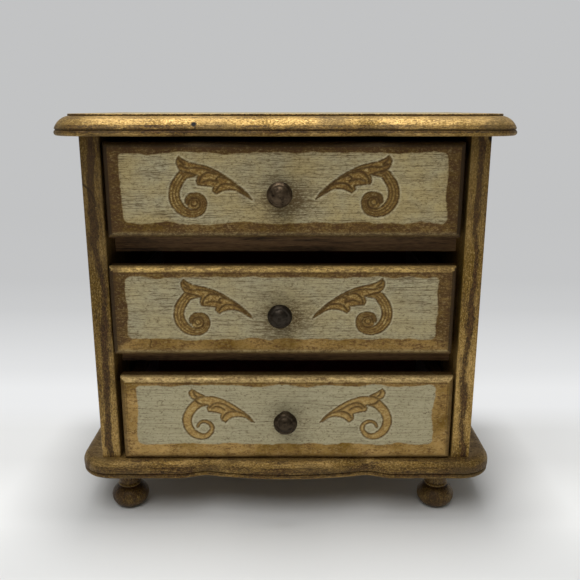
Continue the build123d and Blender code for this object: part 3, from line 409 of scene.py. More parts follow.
def worn_gilding(name, along, colours, wear=0.5, streak_mm=0.35, tone=0.0, polish=0.0, marks=False,
                 streak_x=None, darker_at=None, spots=(), panel=None, curve=None):
    """Water gilding over red-brown bole, rubbed and toned with dark wax, as on Florentine boxes.

    The leaf is metal with a soft satin shine under a thin wax, broken by worn patches, by brush streaks that
    run along one axis and by fine pits. Where it's worn or toned, it's dull and dark brown. A worn streak
    runs at streak_x, and between the two heights of darker_at the leaf darkens upwards, partly as darker wax
    and partly as painted shade under the top board. Spots are dark holes and chips, a curve is a dark scratch
    on a circle of (x, z, radius) on the front edge, and a panel is a field of cream paint inside the leaf."""
    material, tree, shader = new_material(name)
    brushed = grain(tree, streak_mm, 4.0, 0.7, stretch=stretched(along, BRUSH_RUN / streak_mm))
    patches = grain(tree, 6.0, 5.0, 0.65, 0.4, stretched(along, 4.0))
    clouds = grain(tree, 30.0, 2.0)
    speckle = grain(tree, 1.0, 4.0, 0.85, stretch=stretched(along, 2.0))
    fleck = grain(tree, 0.6, 2.0, 0.9, stretch=stretched(along, 2.0))
    x, _, z = axes(tree)
    mixed = patches * 0.36 + brushed * 0.32 + speckle * 0.32
    if marks:
        mixed = mixed + mark(tree, "hollow") * 0.22 - mark(tree, "proud") * 0.04
    if streak_x is not None:
        off = abs(x - streak_x + (clouds - 0.5) * (9 * MM))
        mixed = mixed + ramp(off * 200, (0.10, 1.0), (0.48, 0.0)) * 0.15
    edge = 0.60 - 0.16 * wear
    worn = ramp(mixed, (edge - 0.06, 0.0), (edge + 0.05, 1.0))
    pits = ramp(fleck, (0.54, 0.0), (0.62, 0.40 + 0.4 * wear))
    pale = ramp(fleck, (0.40, 0.6), (0.46, 0.0))
    leaf = coats(tree, colours.gold_deep, (ramp(clouds, (0.38, 0.0), (0.62, 1.0)), colours.gold_bright),
                 (ramp(speckle, (0.42, 0.8), (0.56, 0.0)), colours.gold_deep), (pale, linear("#E0BF7C")))
    ground = coats(tree, colours.bole, (ramp(speckle, (0.42, 0.0), (0.58, 1.0)), colours.patina),
                   (ramp(clouds, (0.42, 0.0), (0.60, 0.25)), colours.dust), (pale, colours.gold_deep))
    colour = coats(tree, leaf, (worn, ground), (pits, colours.patina))
    dull = worn.larger(pits)
    if marks:
        bloom = mark(tree, "bloom") * ramp(speckle, (0.40, 1.0), (0.62, 0.35))
        colour = coats(tree, colour, (bloom, colours.dust))
        dull = dull.larger(bloom)
    # Darker towards the top: partly darker wax, partly painted shade under the top board's overhang
    if darker_at is not None:
        low, high = darker_at
        tone = ((z - low) / (high - low)).clamped() * 0.48 + tone
    colour = coats(tree, colour, (tone, colours.patina))
    if curve is not None:
        scratch = curved_scratch(tree, curve)
        colour = coats(tree, colour, (scratch, colours.patina))
        dull = dull.larger(scratch)
    for spot, reach in spots:
        hole = near(tree, spot, reach)
        colour = coats(tree, colour, (hole, linear("#0E0906")))
        dull = dull.larger(hole)
    if panel is not None:
        field, field_paint = painted_panel(tree, colours, panel)
        colour = coats(tree, colour, (field, field_paint))
        dull = dull.larger(field)
    feed(shader, {"Base Color": colour, "Metallic": ramp(dull, (0.0, 0.62), (1.0, 0.08)),
                  "Roughness": dull * 0.20 + speckle * 0.34 + (0.30 - polish),
                  "Specular IOR Level": WAXED_SHINE})
    raised(tree, shader, brushed * 0.3 + speckle * 0.7 - dull * 0.3, 0.26)
    return material


def distressed_paint(colours, name, grey, streaky, painted_highlight_colour):
    """Cream casein paint, glazed dark and wiped, inside a border and scrolls of gold leaf.

    The glaze stays in horizontal brush marks and pits. The piece's marks say where the leaf, the scrolls and
    their rubbed ridges, the incised grooves and the handled places are, where shade is painted on the
    bevelled edges, where a highlight is painted on the upper edge's rubbed crown, and where the lower edge's
    worn arris is brightened with a painted highlight."""
    material, tree, shader = new_material(name)
    brush = grain(tree, 0.26, 3.0, 0.6, stretch=(16.0, 1.0, 1.0))
    long_brush = grain(tree, 0.7, stretch=(34.0, 1.0, 1.0))
    speckle = grain(tree, 0.9, 3.0, 0.8, stretch=(1.6, 1.0, 1.0))
    patches = grain(tree, 3.2, 4.0, 0.65, stretch=(2.5, 1.0, 1.0))
    clouds = grain(tree, 16.0)
    gilt, rub, tone, drawn, ridge = (mark(tree, key) for key in ("gilt", "rub", "tone", "scroll", "ridge"))
    gilt = gilt * ramp(speckle, (0.36, 0.75), (0.43, 1.0))

    base = coats(tree, colours.cream, (ramp(clouds, (0.35, 0.0), (0.65, 1.0)), colours.cream_grey),
                 (grey, colours.cream_grey), (ramp(long_brush, (0.45, 0.0), (0.70, 0.35)), colours.streak))
    streak = brush * 0.70 + long_brush * 0.30 + (clouds - 0.5) * 0.22 + rub * 0.10
    low = 0.60 - 0.06 * streaky
    marks_in_paint = ramp(streak, (low, 0.0), (low + 0.08, 0.9))
    pits = ramp(speckle, (0.55, 0.0), (0.68, 0.75))
    smudge = (rub * ramp(speckle, (0.44, 0.30), (0.52, 1.0))).clamped() * 0.95
    halo = mark(tree, "halo") * ramp(speckle, (0.40, 1.0), (0.55, 0.3)) * 0.55
    painted = coats(tree, base, (marks_in_paint.larger(pits), colours.streak), (smudge, colours.streak),
                    (halo, linear("#D9CFAE")))

    worn_at = speckle * 0.45 + brush * 0.25 + patches * 0.30 + tone * 0.08
    worn = ramp(worn_at, (0.50, 0.0), (0.60, 0.85))
    gold = coats(tree, colours.gold_bright, (0.30 + 0.45 * streaky, colours.gold_deep))
    rubbed = coats(tree, gold, (ramp(worn_at, (0.44, 0.9), (0.52, 0.0)), linear("#CDB274")))
    pitted = ramp(speckle, (0.48, 0.0), (0.58, 0.7)) * (0.5 + 0.4 * streaky)
    gold = coats(tree, gold, (0.45, colours.patina), (ridge, rubbed), (pitted, colours.bole))
    leaf = coats(tree, colours.gold_deep, (ramp(clouds, (0.3, 0.0), (0.7, 1.0)), colours.gold_bright),
                 (0.04 + 0.26 * streaky, colours.gold_deep), (worn, colours.bole), (drawn, gold),
                 (tone * (ridge * -0.34 + 0.66), colours.patina))

    kept = ramp(speckle, (0.40, 0.45), (0.52, 1.0)) * (0.60 + 0.12 * streaky)
    bright_at = ramp(worn_at, (0.42, 1.0), (0.58, 0.15))
    # Laid over the paint and leaf: the incised lines, painted shade on the bevelled edges, a dark crease
    # line, a painted highlight on the rubbed upper edge (crown) and the worn lower arris brightened as a
    # painted highlight
    colour = coats(tree, painted, (gilt, leaf), (mark(tree, "line") * kept, colours.incised),
                   (mark(tree, "bevel_shade"), colours.patina), (mark(tree, "crease") * 0.6, colours.incised),
                   (mark(tree, "crown") * bright_at, linear(painted_highlight_colour)),
                   (mark(tree, "worn_arris_and_highlight") * bright_at * 0.7, linear("#B8A678")))
    metal = gilt * ramp(worn, (0.0, 0.60), (1.0, 0.1))
    feed(shader, {"Base Color": colour, "Metallic": metal, "Roughness": metal * -0.26 + 0.62 + speckle * 0.20,
                  "Specular IOR Level": WAXED_SHINE})
    raised(tree, shader, brush * 0.6 - pits * 0.5, 0.12)
    return material


def stained_wood(name, light, dark, along, ring_mm=2.2):
    """Wood with its grain along one axis: long fibres, growth bands and pores."""
    material, tree, shader = new_material(name)
    fibres = grain(tree, 0.25, stretch=stretched(along, 18.0))
    bands = grain(tree, ring_mm, 3.0, 0.5, 0.8, tuple(18.0 if axis == along else 0.9 for axis in "XYZ"))
    share = ramp(fibres * 0.45 + bands * 0.55, (0.36, 0.0), (0.64, 1.0))
    feed(shader, {"Base Color": coats(tree, light, (share, dark)), "Roughness": share * 0.18 + 0.54})
    raised(tree, shader, fibres, 0.06)
    return material


def cut_metal(name, colour, dark, rough, tarnish, scratch_mm=0.12):
    """Machined or cast metal with fine tool marks and a thin uneven tarnish."""
    material, tree, shader = new_material(name)
    cuts = grain(tree, scratch_mm, 2.0, stretch=(22.0, 1.0, 1.0))
    share = ramp(grain(tree, 2.6, 4.0, 0.6), (0.60 - 0.3 * tarnish, 0.0), (0.78 - 0.2 * tarnish, 1.0))
    feed(shader, {"Base Color": coats(tree, colour, (share, dark)), "Metallic": 1.0,
                  "Roughness": cuts * 0.16 + (share * 0.16 + (rough - 0.08))})
    raised(tree, shader, cuts, 0.02)
    return material


def cotton_velvet(colour):
    """Short-pile cotton velvet: a deep colour with a sheen at the edges and pile that lies in patches."""
    material, tree, shader = new_material("cotton_velvet")
    pile = grain(tree, 0.30, 2.0)
    pale = tuple(min(1.0, c * 1.9 + 0.01) for c in colour[:3]) + (1.0,)
    share = ramp(grain(tree, 14.0), (0.4, 0.0), (0.6, 0.7)) * 0.6 + pile * 0.4
    feed(shader, {"Base Color": coats(tree, tuple(colour), (share, pale)), "Roughness": 0.95,
                  "Sheen Weight": 0.6, "Sheen Roughness": 0.4})
    raised(tree, shader, pile, 0.25)
    return material


def paper_sweep():
    """Matte pale paper: near the chest it takes light and shadow, and its colour is lightened or darkened
    along its depth as painted light; further back it glows with a painted gradient of light that darkens with
    distance.
    """
    material, tree, shader = new_material("pale_paper_with_painted_light")
    away = axes(tree)[1]
    # Share of painted light: from here back the paper glows instead of being lit
    far = ramp(away, (0.035, 0.0), (0.075, 0.85), (0.40, 0.95), (0.50, 1.0))
    painted_light_near_chest = ((0.18, 0.84), (0.22, 0.98), (0.256, 0.92), (0.292, 0.82), (0.334, 0.82))
    painted_glow_greys = ((0.05, 0.855), (0.11, 0.855), (0.15, 0.775), (0.23, 0.69), (0.335, 0.60), (0.47, 0.565),
                 (0.98, 0.55))
    # Painted light near the chest: the paper's colour is multiplied by greys along its depth
    paper = coats(tree, linear("#ECEDED"), (1.0, ramp(away + 0.3, *painted_light_near_chest)), kind="MULTIPLY")
    feed(shader, {"Base Color": paper, "Roughness": 0.9})
    # Painted light further back: a glowing grey gradient, darker with distance
    painted_glow_colour = coats(tree, linear("#FDFEFF"), (1.0, ramp(away, *painted_glow_greys)), kind="MULTIPLY")
    painted_glow = add_node(tree, "ShaderNodeEmission", inputs={"Color": painted_glow_colour, "Strength": 1.0})
    layers = {0: far, 1: Signal(shader.outputs["BSDF"]), 2: Signal(painted_glow.outputs[0])}
    mixed = add_node(tree, "ShaderNodeMixShader", inputs=layers)
    output = next(n for n in tree.nodes if n.type == "OUTPUT_MATERIAL")
    put(output.inputs["Surface"], Signal(mixed.outputs[0]))
    return material


# Moulded boards

def rounded(corners):
    """A path through corners of (x, y, radius), each rounded by an arc that touches both of its runs."""
    spots = [np.array(c[:2], dtype=float) for c in corners]
    path = [spots[0]]
    for before, spot, after, (_, _, radius) in zip(spots, spots[1:], spots[2:], corners[1:]):
        if radius == 0:
            path.append(spot)
            continue
        a = (before - spot) / np.linalg.norm(before - spot)
        b = (after - spot) / np.linalg.norm(after - spot)
        half = np.arccos(np.clip(a @ b, -1, 1)) / 2
        middle = spot + (a + b) / np.linalg.norm(a + b) * radius / np.sin(half)
        start = spot + a * radius / np.tan(half) - middle
        end = spot + b * radius / np.tan(half) - middle
        share = np.linspace(0, 1, 24)[:, None]
        chord = start * (1 - share) + end * share
        path.extend(middle + chord / np.linalg.norm(chord, axis=1, keepdims=True) * radius)
    path.append(spots[-1])
    return np.array(path)


def serpentine(sizes):
    """The base board's outline from its back left corner round the front to its back right corner, and the
    directions that point into the board. The middle is an arc through both dips and the front of the bow."""
    low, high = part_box("base_board")
    half = (high.x - low.x) / 2
    middle_x = middle_of(low, high)[0]
    ear_y = low.y + sizes.ear_reach
    dip_y = low.y + sizes.bow_sag
    bow_r = (sizes.dip_x**2 + sizes.bow_sag**2) / (2 * sizes.bow_sag)
    bow_x = np.linspace(-sizes.dip_x * 0.92, 0, 40)
    bow = [(x, low.y + bow_r - np.sqrt(bow_r**2 - x**2), 0) for x in bow_x]
    corners = [(-half, high.y, 0), (-half, ear_y, sizes.corner_radius),
               (-sizes.ear_x, ear_y, sizes.ear_radius), (-sizes.dip_x, dip_y, sizes.dip_radius), *bow]
    left = evenly(rounded(corners), 0.9 * MM)
    path = np.vstack([left, left[-2::-1] * (-1, 1)])
    way = np.gradient(path, axis=0)
    way /= np.linalg.norm(way, axis=1, keepdims=True)
    inward = np.stack([-way[:, 1], way[:, 0]], axis=1)
    inward[0] = (1, 0)
    inward[-1] = (-1, 0)
    return path + (middle_x, 0), inward


def board_profile(sizes, radius, ovolo_height, height, grime):
    """The moulding's section as (inset, height), from the underside up: a round bead, a quirk, an ovolo that
    is the upper part of a quarter-round and, where the board is taller than these, a field with a softened
    step. The second result says how deep in a hollow each point lies, and the third how exposed it is."""
    bead_r = sizes.bead_height / 2
    ovolo_low = sizes.bead_height + sizes.quirk
    ovolo_top = ovolo_low + ovolo_height
    centre = ovolo_top - radius
    with_field = height > ovolo_top + 0.2 * MM
    first = 180 - np.degrees(np.arcsin(max(ovolo_low - centre, 0) / radius))
    last = 90 + (np.degrees(np.arcsin((radius - sizes.field_inset) / radius)) if with_field else 0)
    parts = [
        ([(9 * MM, 0), (5 * MM, 0)], 0.2, 0.0),
        (arc((sizes.bead_inset + bead_r, bead_r), bead_r, 270, 180, 9), 0.15, 0.5),
        (arc((sizes.bead_inset + bead_r, bead_r), bead_r, 172, 110, 6), 0.5, 0.1),
        ([(sizes.quirk_depth, sizes.bead_height + 0.05 * MM), (sizes.quirk_depth, ovolo_low - 0.05 * MM)],
         1.0, 0.0),
    ]
    if centre > ovolo_low:
        parts.append(([(0.15 * MM, ovolo_low), (0, ovolo_low + 0.2 * MM)], 0.4, 0.0))
    else:
        parts.append(([(radius + radius * np.cos(np.radians(first)) + 0.12 * MM, ovolo_low)], 0.4, 0.0))
    curve = arc((radius, centre), radius, first - 1.5, last, 22)
    parts.append((curve[:5], 0.35, 0.2))
    parts.append((curve[5:14], 0.0, 1.0))
    parts.append((curve[14:], 0.15, 0.3))
    if with_field:
        foot = curve[-1][1]
        parts += [
            ([(sizes.field_inset, foot + 0.05 * MM), (sizes.field_inset, height - 0.3 * MM)], 1.0, 0.0),
            (arc((sizes.field_inset + 0.3 * MM, height - 0.3 * MM), 0.3 * MM, 180, 90, 4), 0.0, 1.0),
        ]
    parts.append(([(8.6 * MM, parts[-1][0][-1][1]), (9.2 * MM, parts[-1][0][-1][1])], 0.0, 0.2))
    section = np.vstack([np.asarray(points, dtype=float) for points, _, _ in parts])
    hollow = np.concatenate([np.full(len(points), grime * h) for points, h, _ in parts])
    proud = np.concatenate([np.full(len(points), e) for points, _, e in parts])
    return section, hollow, proud


def moulded_board(name, spread, radius, ovolo_height, sizes, grime, seed):
    """The section carried round the serpentine outline: place = path + inset x inward, with shallow dents."""
    low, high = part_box(name)
    path, inward = serpentine(sizes)
    section, hollow, proud = board_profile(sizes, radius, ovolo_height, high.z - low.z, grime)
    flat = path[:, None, :] + inward[:, None, :] * (section[None, :, :1] - spread)
    level = np.broadcast_to(low.z + section[None, :, 1:], (*flat.shape[:2], 1))
    points = np.concatenate([flat, level], axis=2)
    dents = smooth_step(waves(points, 7 * MM, seed) + 0.6 * waves(points, 2.4 * MM, seed + 1), 0.1, 1.3)
    inner = np.concatenate([inward, np.zeros((len(inward), 1))], axis=1)[:, None, :]
    exposed = (section[:, 0] < 6 * MM)[None, :, None]
    points = points + inner * dents[..., None] * sizes.dent * exposed
    rows, columns = points.shape[:2]
    faces = grid_quads(rows, columns).tolist()
    faces.append([r * columns + columns - 1 for r in range(rows)])
    faces.append([r * columns for r in range(rows)])
    faces.append([*range(columns), *range(rows * columns - 1, (rows - 1) * columns - 1, -1)])
    drifts = smooth_step(waves(points * (1, 1, 2.5), 26 * MM, seed + 2), 0.1, 1.0)
    ends = smooth_step(np.abs(points[..., 0]), 0.30 * (high.x - low.x), 0.5 * (high.x - low.x))
    marks = {"hollow": np.broadcast_to(hollow, (rows, columns)),
             "proud": np.broadcast_to(proud, (rows, columns)),
             "bloom": np.clip(0.55 * drifts + 0.35 * ends, 0, 0.8)}
    return piece_from("gilt_" + name, points, faces, marks, np.radians(50))


# Painted drawer fronts

# How the drawers differ, with shares from 0 to 1. spirals: where the left and right scrolls turn, from the
# middle of the front in millimetres, and how dark their leaf is. borders: the gilt borders' widths in
# millimetres, and tones: how dark they are, each as left, right, top, bottom. bevel_shades: how dark the
# shade painted on the bevelled edges is, as sides, top, bottom. grey, streaky: how far the cream has greyed
# and how streaked the paint and leaf are. crown, knob: the colours of the highlight painted on the rubbed
# upper edge and of the knob.
FRONTS = {
    "bottom": {"spirals": ((-44.8, -5.2, 0.20), (45.2, -5.2, 0.28)), "borders": (5.9, 7.4, 1.7, 6.0),
               "tones": (0.15, 0.10, 0.30, 0.05), "bevel_shades": (0.50, 0.0, 0.45), "grey": 0.9, "streaky": 0.0,
               "crown": "#E8CC90", "knob": "#463C30"},
    "middle": {"spirals": ((-43.4, -5.7, 0.22), (43.6, -5.3, 0.28)), "borders": (5.6, 6.4, 2.4, 5.9),
               "tones": (0.90, 0.75, 0.60, 0.20), "bevel_shades": (0.80, 0.0, 0.60), "grey": 0.5, "streaky": 0.8,
               "crown": "#F2CE80", "knob": "#3C362F"},
    "top": {"spirals": ((-44.1, -6.2, 0.30), (43.9, -5.7, 0.50)), "borders": (5.2, 5.8, 2.3, 4.6),
            "tones": (0.85, 0.90, 0.90, 0.65), "bevel_shades": (0.95, 0.90, 0.55), "grey": 0.1, "streaky": 1.0,
            "crown": "#E8CC90", "knob": "#5A4C3C"},
}
# Rounding of the corners of the cream field
CREAM_CORNER = 2.4 * MM
# A short crack in the middle drawer's lower border
CRACK = (-69.8 * MM, 100.6 * MM)

# The right-hand scrolls in millimetres from the middle of the spiral: a stem as (x, up, half-width), the
# leaf's outline as curves that meet at its points, and its veins. The points were picked by eye on the
# photograph. A scratch script put them on the plane of the fronts, to 0.1 mm: about half are its numbers as
# they came, and the others were then moved by hand to smooth the curves.
ACANTHUS = {
    "stem": [(-1, 16, 2.6), (4.4, 14.4, 2.4), (7, 11.6, 2.5), (9, 8.2, 2.6), (9.8, 4.6, 2.6),
             (9.3, 1.2, 2.7), (7.6, -1.8, 2.6), (5.2, -3.9, 2.4), (2, -5, 2.1), (-1, -4.7, 1.9),
             (-3.2, -3.4, 1.75), (-4.3, -1.2, 1.6), (-4.3, 1.2, 1.6), (-3, 3.2, 1.5), (-0.6, 4, 1.3),
             (2, 3.6, 1.2), (3.3, 2.2, 1.1), (3.7, 0.4, 0.9)],
    "feather": None,
    "leaf": [[(-28.4, 1.7), (-26.5, 4.6), (-23, 7.9), (-18.3, 11.6), (-13.7, 14.6), (-9, 17), (-5, 18.4),
              (0.3, 19.6)],
             [(0.3, 19.6), (4.2, 21), (6.9, 22.9)],
             [(6.9, 22.9), (8.2, 20.6), (7.7, 18), (6.2, 16), (1.6, 14.6), (-1.9, 13.5)],
             [(-1.9, 13.5), (-1.2, 10.8), (-2, 8.9)],
             [(-2, 8.9), (-5.3, 8.7), (-9.5, 8.1)],
             [(-9.5, 8.1), (-9, 6.4), (-10.8, 4.6)],
             [(-10.8, 4.6), (-13.5, 5.9), (-16.5, 6.7), (-20, 6.4), (-23.6, 4.6), (-28.4, 1.7)]],
    "veins": [[(-26, 4.2), (-19.5, 10), (-13.7, 13.5), (-7.8, 16.1), (-2, 17.3), (3, 17.2), (6.6, 18.6)],
              [(-20.7, 8.9), (-18.9, 10.6), (-16, 12.1), (-12.5, 13), (-11, 11.8), (-11.8, 10.3)],
              [(-10.7, 14.4), (-6.6, 15), (-4.2, 13.5), (-3, 11.8), (-2.6, 10)],
              [(-24.7, 4.8), (-20.1, 8.7), (-16.5, 9.5), (-13, 8.9), (-10.8, 6.4)],
              [(-11.8, 10.3), (-7.7, 11.4), (-4.4, 10.4)],
              [(4.2, 18.6), (6.1, 20.3), (7, 21.9)]],
    "bands": 2,
}

FEATHERED = {
    "stem": [(-3, 15.5, 2.5), (1.9, 14.2, 2.5), (5.3, 11.2, 2.5), (7.6, 7.6, 2.4), (8.4, 4.1, 2.4),
             (7.7, 0.4, 2.35), (5.9, -2.5, 2.3), (3.2, -4.5, 2.1), (0.5, -5.2, 1.75), (-2.2, -4.5, 1.5),
             (-4.2, -2.3, 1.3), (-4.9, 0, 1.2), (-3.8, 2.3, 1.1), (-1.8, 3.5, 1), (0.4, 3.5, 0.85),
             (2, 2.4, 0.8), (2.8, 0.7, 0.7)],
    "feather": [(5.3, 22.4), (2, 20.2), (-1.9, 17.9), (0.8, 16.8), (3.5, 16.3), (5.9, 17.3), (6.9, 20.2),
                (5.3, 22.4)],
    "leaf": [[(-27.6, 3), (-25.2, 6.3), (-21.3, 9.7), (-16, 13.6), (-10.6, 16.5), (-5.3, 18), (-1.2, 18),
              (1.5, 17.4), (3.9, 16.2)],
             [(3.9, 16.2), (1.6, 13.9), (-3.1, 12.9)],
             [(-3.1, 12.9), (-2.4, 11.1), (-3.3, 9.2)],
             [(-3.3, 9.2), (-6.4, 8.9), (-9.8, 7.8)],
             [(-9.8, 7.8), (-9.6, 5.2), (-12, 2.8)],
             [(-12, 2.8), (-13.4, 4.2), (-15.8, 5.7), (-19.2, 6.4), (-22.6, 5.7), (-25.3, 3.8), (-27.6, 3)]],
    "veins": [[(-3.8, 11.8), (-5.8, 13.6), (-8.6, 14.2), (-11.9, 13.3), (-15.3, 11.1), (-17.9, 9.6)],
              [(-10.5, 5.3), (-11.8, 7.4), (-13.8, 8.9), (-16.6, 9.4), (-20, 8.9), (-23.3, 7.2),
               (-26, 4.4)],
              [(-5.1, 11.1), (-7.2, 12.2), (-9.8, 11.7), (-11.8, 10.3)],
              [(4.4, 20.9), (4, 19.1), (2.8, 18)]],
    "bands": 1,
}



def line_distance(place, line, half=None):
    """Distance from each place to a line of points, and less its half-width where it has one."""
    a, b = line[:-1], line[1:]
    run = b - a
    best = np.full(len(place), np.inf)
    for i, step in enumerate(run):
        off = place - a[i]
        t = np.clip(off @ step / max(step @ step, 1e-12), 0, 1)
        away = np.linalg.norm(off - t[:, None] * step, axis=1)
        if half is not None:
            away = away - (half[i] * (1 - t) + half[i + 1] * t)
        best = np.minimum(best, away)
    return best


def shape_distance(place, outline):
    """Signed distance to a closed outline, negative inside, by counting crossings of its sides."""
    x, y = place[:, 0][:, None], place[:, 1][:, None]
    a, b = outline[:-1], outline[1:]
    spans = (a[:, 1] > y) != (b[:, 1] > y)
    rise = np.where(b[:, 1] == a[:, 1], 1e-12, b[:, 1] - a[:, 1])
    crossed = spans & (x < a[:, 0] + (y - a[:, 1]) / rise * (b[:, 0] - a[:, 0]))
    inside = crossed.sum(axis=1) % 2 == 1
    away = line_distance(place, outline)
    return np.where(inside, -away, away)


def scroll_marks(place, scroll):
    """Fill and line distances of one scroll, in millimetres, drawn as a painter would: each new shape hides
    the lines under it and adds its own edge."""
    stem = flowing(scroll["stem"], 8)
    shapes = [line_distance(place, stem[:, :2], stem[:, 2])]
    if scroll["feather"]:
        shapes.append(shape_distance(place, flowing(scroll["feather"], 6)))
    shapes.append(shape_distance(place, np.vstack([flowing(edge, 6) for edge in scroll["leaf"]])))
    fill = np.full(len(place), np.inf)
    line = np.full(len(place), np.inf)
    for i, away in enumerate(shapes):
        line = np.where(away < 0, np.abs(away), np.minimum(line, np.abs(away)))
        fill = np.minimum(fill, away)
        if i == 0 and scroll["bands"] == 2:
            inner = np.abs(line_distance(place, stem[:, :2], stem[:, 2] * 0.30))
            line = np.where(away < 0, np.minimum(line, inner + 0.34), line)
    for vein in scroll["veins"]:
        line = np.minimum(line, line_distance(place, flowing(vein, 8)) + 0.06)
    eye = np.linalg.norm(place - (0.1, 0.3), axis=1)
    if scroll["bands"] == 2:
        fill = np.minimum(fill, eye - 3.6)
        line = np.minimum(line, np.abs(eye - 1.5) + 0.15)
    return fill, line


def eased_span(low, high, rim, step):
    """Places from low to high: close together in the rims, evenly apart between."""
    at = np.radians(np.linspace(0, 90, 8))
    edge = rim * (1 - np.cos(at))
    inner = np.arange(1, int((high - low - 2 * rim) / step)) * step
    inner = low + rim + inner * (high - low - 2 * rim) / (int((high - low - 2 * rim) / step) * step)
    return np.concatenate([low + edge, inner, (high - edge)[::-1]])


def drawer_front(name, sizes, seed):
    """A front board as a height field: y = rim rounding - relief of the scrolls + depth of the grooves,
    closed by straight sides, with a step at the ends where the box sides lap in."""
    low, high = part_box("drawer_" + name + "_front")
    xs = eased_span(low.x, high.x, sizes.rim, sizes.step)
    zs = eased_span(low.z, high.z, sizes.rim, sizes.step)
    x, z = np.meshgrid(xs, zs)
    off_side = np.minimum(x - low.x, high.x - x)
    off_end = np.minimum(z - low.z, high.z - z)
    inside = np.minimum(off_side, off_end)
    in_rim = np.clip(sizes.rim - inside, 0, sizes.rim)
    depth = sizes.rim - np.sqrt(np.maximum(sizes.rim**2 - in_rim**2, 0))
    centre_x, _, centre_z = middle_of(low, high)
    look = FRONTS[name]

    place = np.stack([x.ravel(), z.ravel()], axis=1)
    ripple = waves(place, 19 * MM, seed) + 0.25 * waves(place, 4 * MM, seed + 1)
    ripple = sizes.ripple * ripple.reshape(x.shape)
    borders = np.array(look["borders"])[:, None, None] * MM
    each = np.stack([x - low.x, high.x - x, high.z - z, z - low.z]) - sizes.rim - borders
    to_side, to_end = each[:2].min(axis=0), each[2:].min(axis=0)
    short_x, short_z = np.maximum(CREAM_CORNER - to_side, 0), np.maximum(CREAM_CORNER - to_end, 0)
    to_corner = CREAM_CORNER - np.hypot(short_x, short_z)
    to_cream = np.minimum.reduce([to_side, to_end, to_corner])
    border = 1 - smooth_step(to_cream + ripple, -0.3 * MM, 0.3 * MM)
    share = np.exp(-np.clip(each - to_cream, 0, 12 * MM) / (1.5 * MM))
    tone = (share * np.array(look["tones"])[:, None, None]).sum(axis=0) / share.sum(axis=0) * border
    by_side, by_top, by_bottom = look["bevel_shades"]
    is_end = off_end < off_side
    shade = np.where(is_end, np.where(z > centre_z, by_top, by_bottom), by_side)
    # Painted shade on the bevelled edges, set per drawer for the sides, top and bottom; the faces round the
    # board's edge take the sides' shade
    bevel_shade = shade * smooth_step(sizes.rim - inside, -0.1 * MM, 0.5 * MM)
    # A painted highlight on the rubbed upper edge, where that edge carries no painted shade
    crown = (is_end & (z > centre_z)) * (1 - by_top) * smooth_step(sizes.rim - inside, 0.1 * MM, 0.5 * MM)
    # A pale line on the lower edge's worn arris, partly wear and partly a painted highlight
    worn_arris_and_highlight = np.exp(-((inside - 0.8 * sizes.rim) / (0.3 * sizes.rim))**2)
    worn_arris_and_highlight = worn_arris_and_highlight * (is_end & (z < centre_z)) * (name != "bottom")
    crease = np.exp(-((inside - sizes.rim - 0.35 * MM) / (0.3 * MM))**2) * np.where(z > centre_z, 1.0, 0.55)

    fill = np.full(x.shape, 99.0)
    line = np.full(x.shape, 99.0)
    leaf_tone = np.zeros(x.shape)
    for side, (spiral_x, spiral_z, dark) in zip((-1, 1), look["spirals"]):
        local = np.stack([(x - centre_x - spiral_x * MM) * side, z - centre_z - spiral_z * MM], axis=-1) / MM
        reach = (np.abs(local[..., 0] + 8) < 24) & (np.abs(local[..., 1] - 8) < 19)
        fill[reach], line[reach] = scroll_marks(local[reach], FEATHERED if name == "bottom" else ACANTHUS)
        leaf_tone[reach] = dark
    width = sizes.line_width / MM
    wobble = 0.16 * (waves(place, 1.6 * MM, seed + 5) + waves(place, 5 * MM, seed + 6)).reshape(x.shape)
    scroll = 1 - smooth_step(fill + wobble, -0.15, 0.25)
    groove = 1 - smooth_step(line + np.abs(wobble), 0.25 * width, 0.85 * width)
    tone = np.maximum(tone, leaf_tone * scroll)
    ridge = smooth_step(line, 0.35, 1.0) * scroll
    halo = np.exp(-((fill - 0.75) / 0.32)**2) * (1 - groove)
    if name == "middle":
        cracked = np.abs(x - CRACK[0] - 0.35 * MM * np.sin((z - CRACK[1]) / (0.7 * MM)))
        groove = np.maximum(groove, (1 - smooth_step(cracked, 0.15 * MM, 0.5 * MM))
                            * (np.abs(z - CRACK[1]) < 2.4 * MM))

    knob_low, knob_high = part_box("drawer_" + name + "_knob")
    knob_x, _, knob_z = middle_of(knob_low, knob_high)
    handled = np.hypot((x - knob_x - 2.5 * MM) * 0.75, z - knob_z + 3.5 * MM)
    rub = np.exp(-(handled / (9 * MM))**2) + 0.35 * np.exp(-np.maximum(to_cream, 0) / (4 * MM))
    rub = rub * (0.4 if name == "bottom" else 1.0)

    y = low.y + depth + sizes.groove * groove + sizes.relief * (1 - ridge) * scroll
    y += 0.05 * MM * waves(place, 9 * MM, seed + 2).reshape(x.shape) * (inside > 0.2 * sizes.rim)
    y = np.maximum(y, low.y)

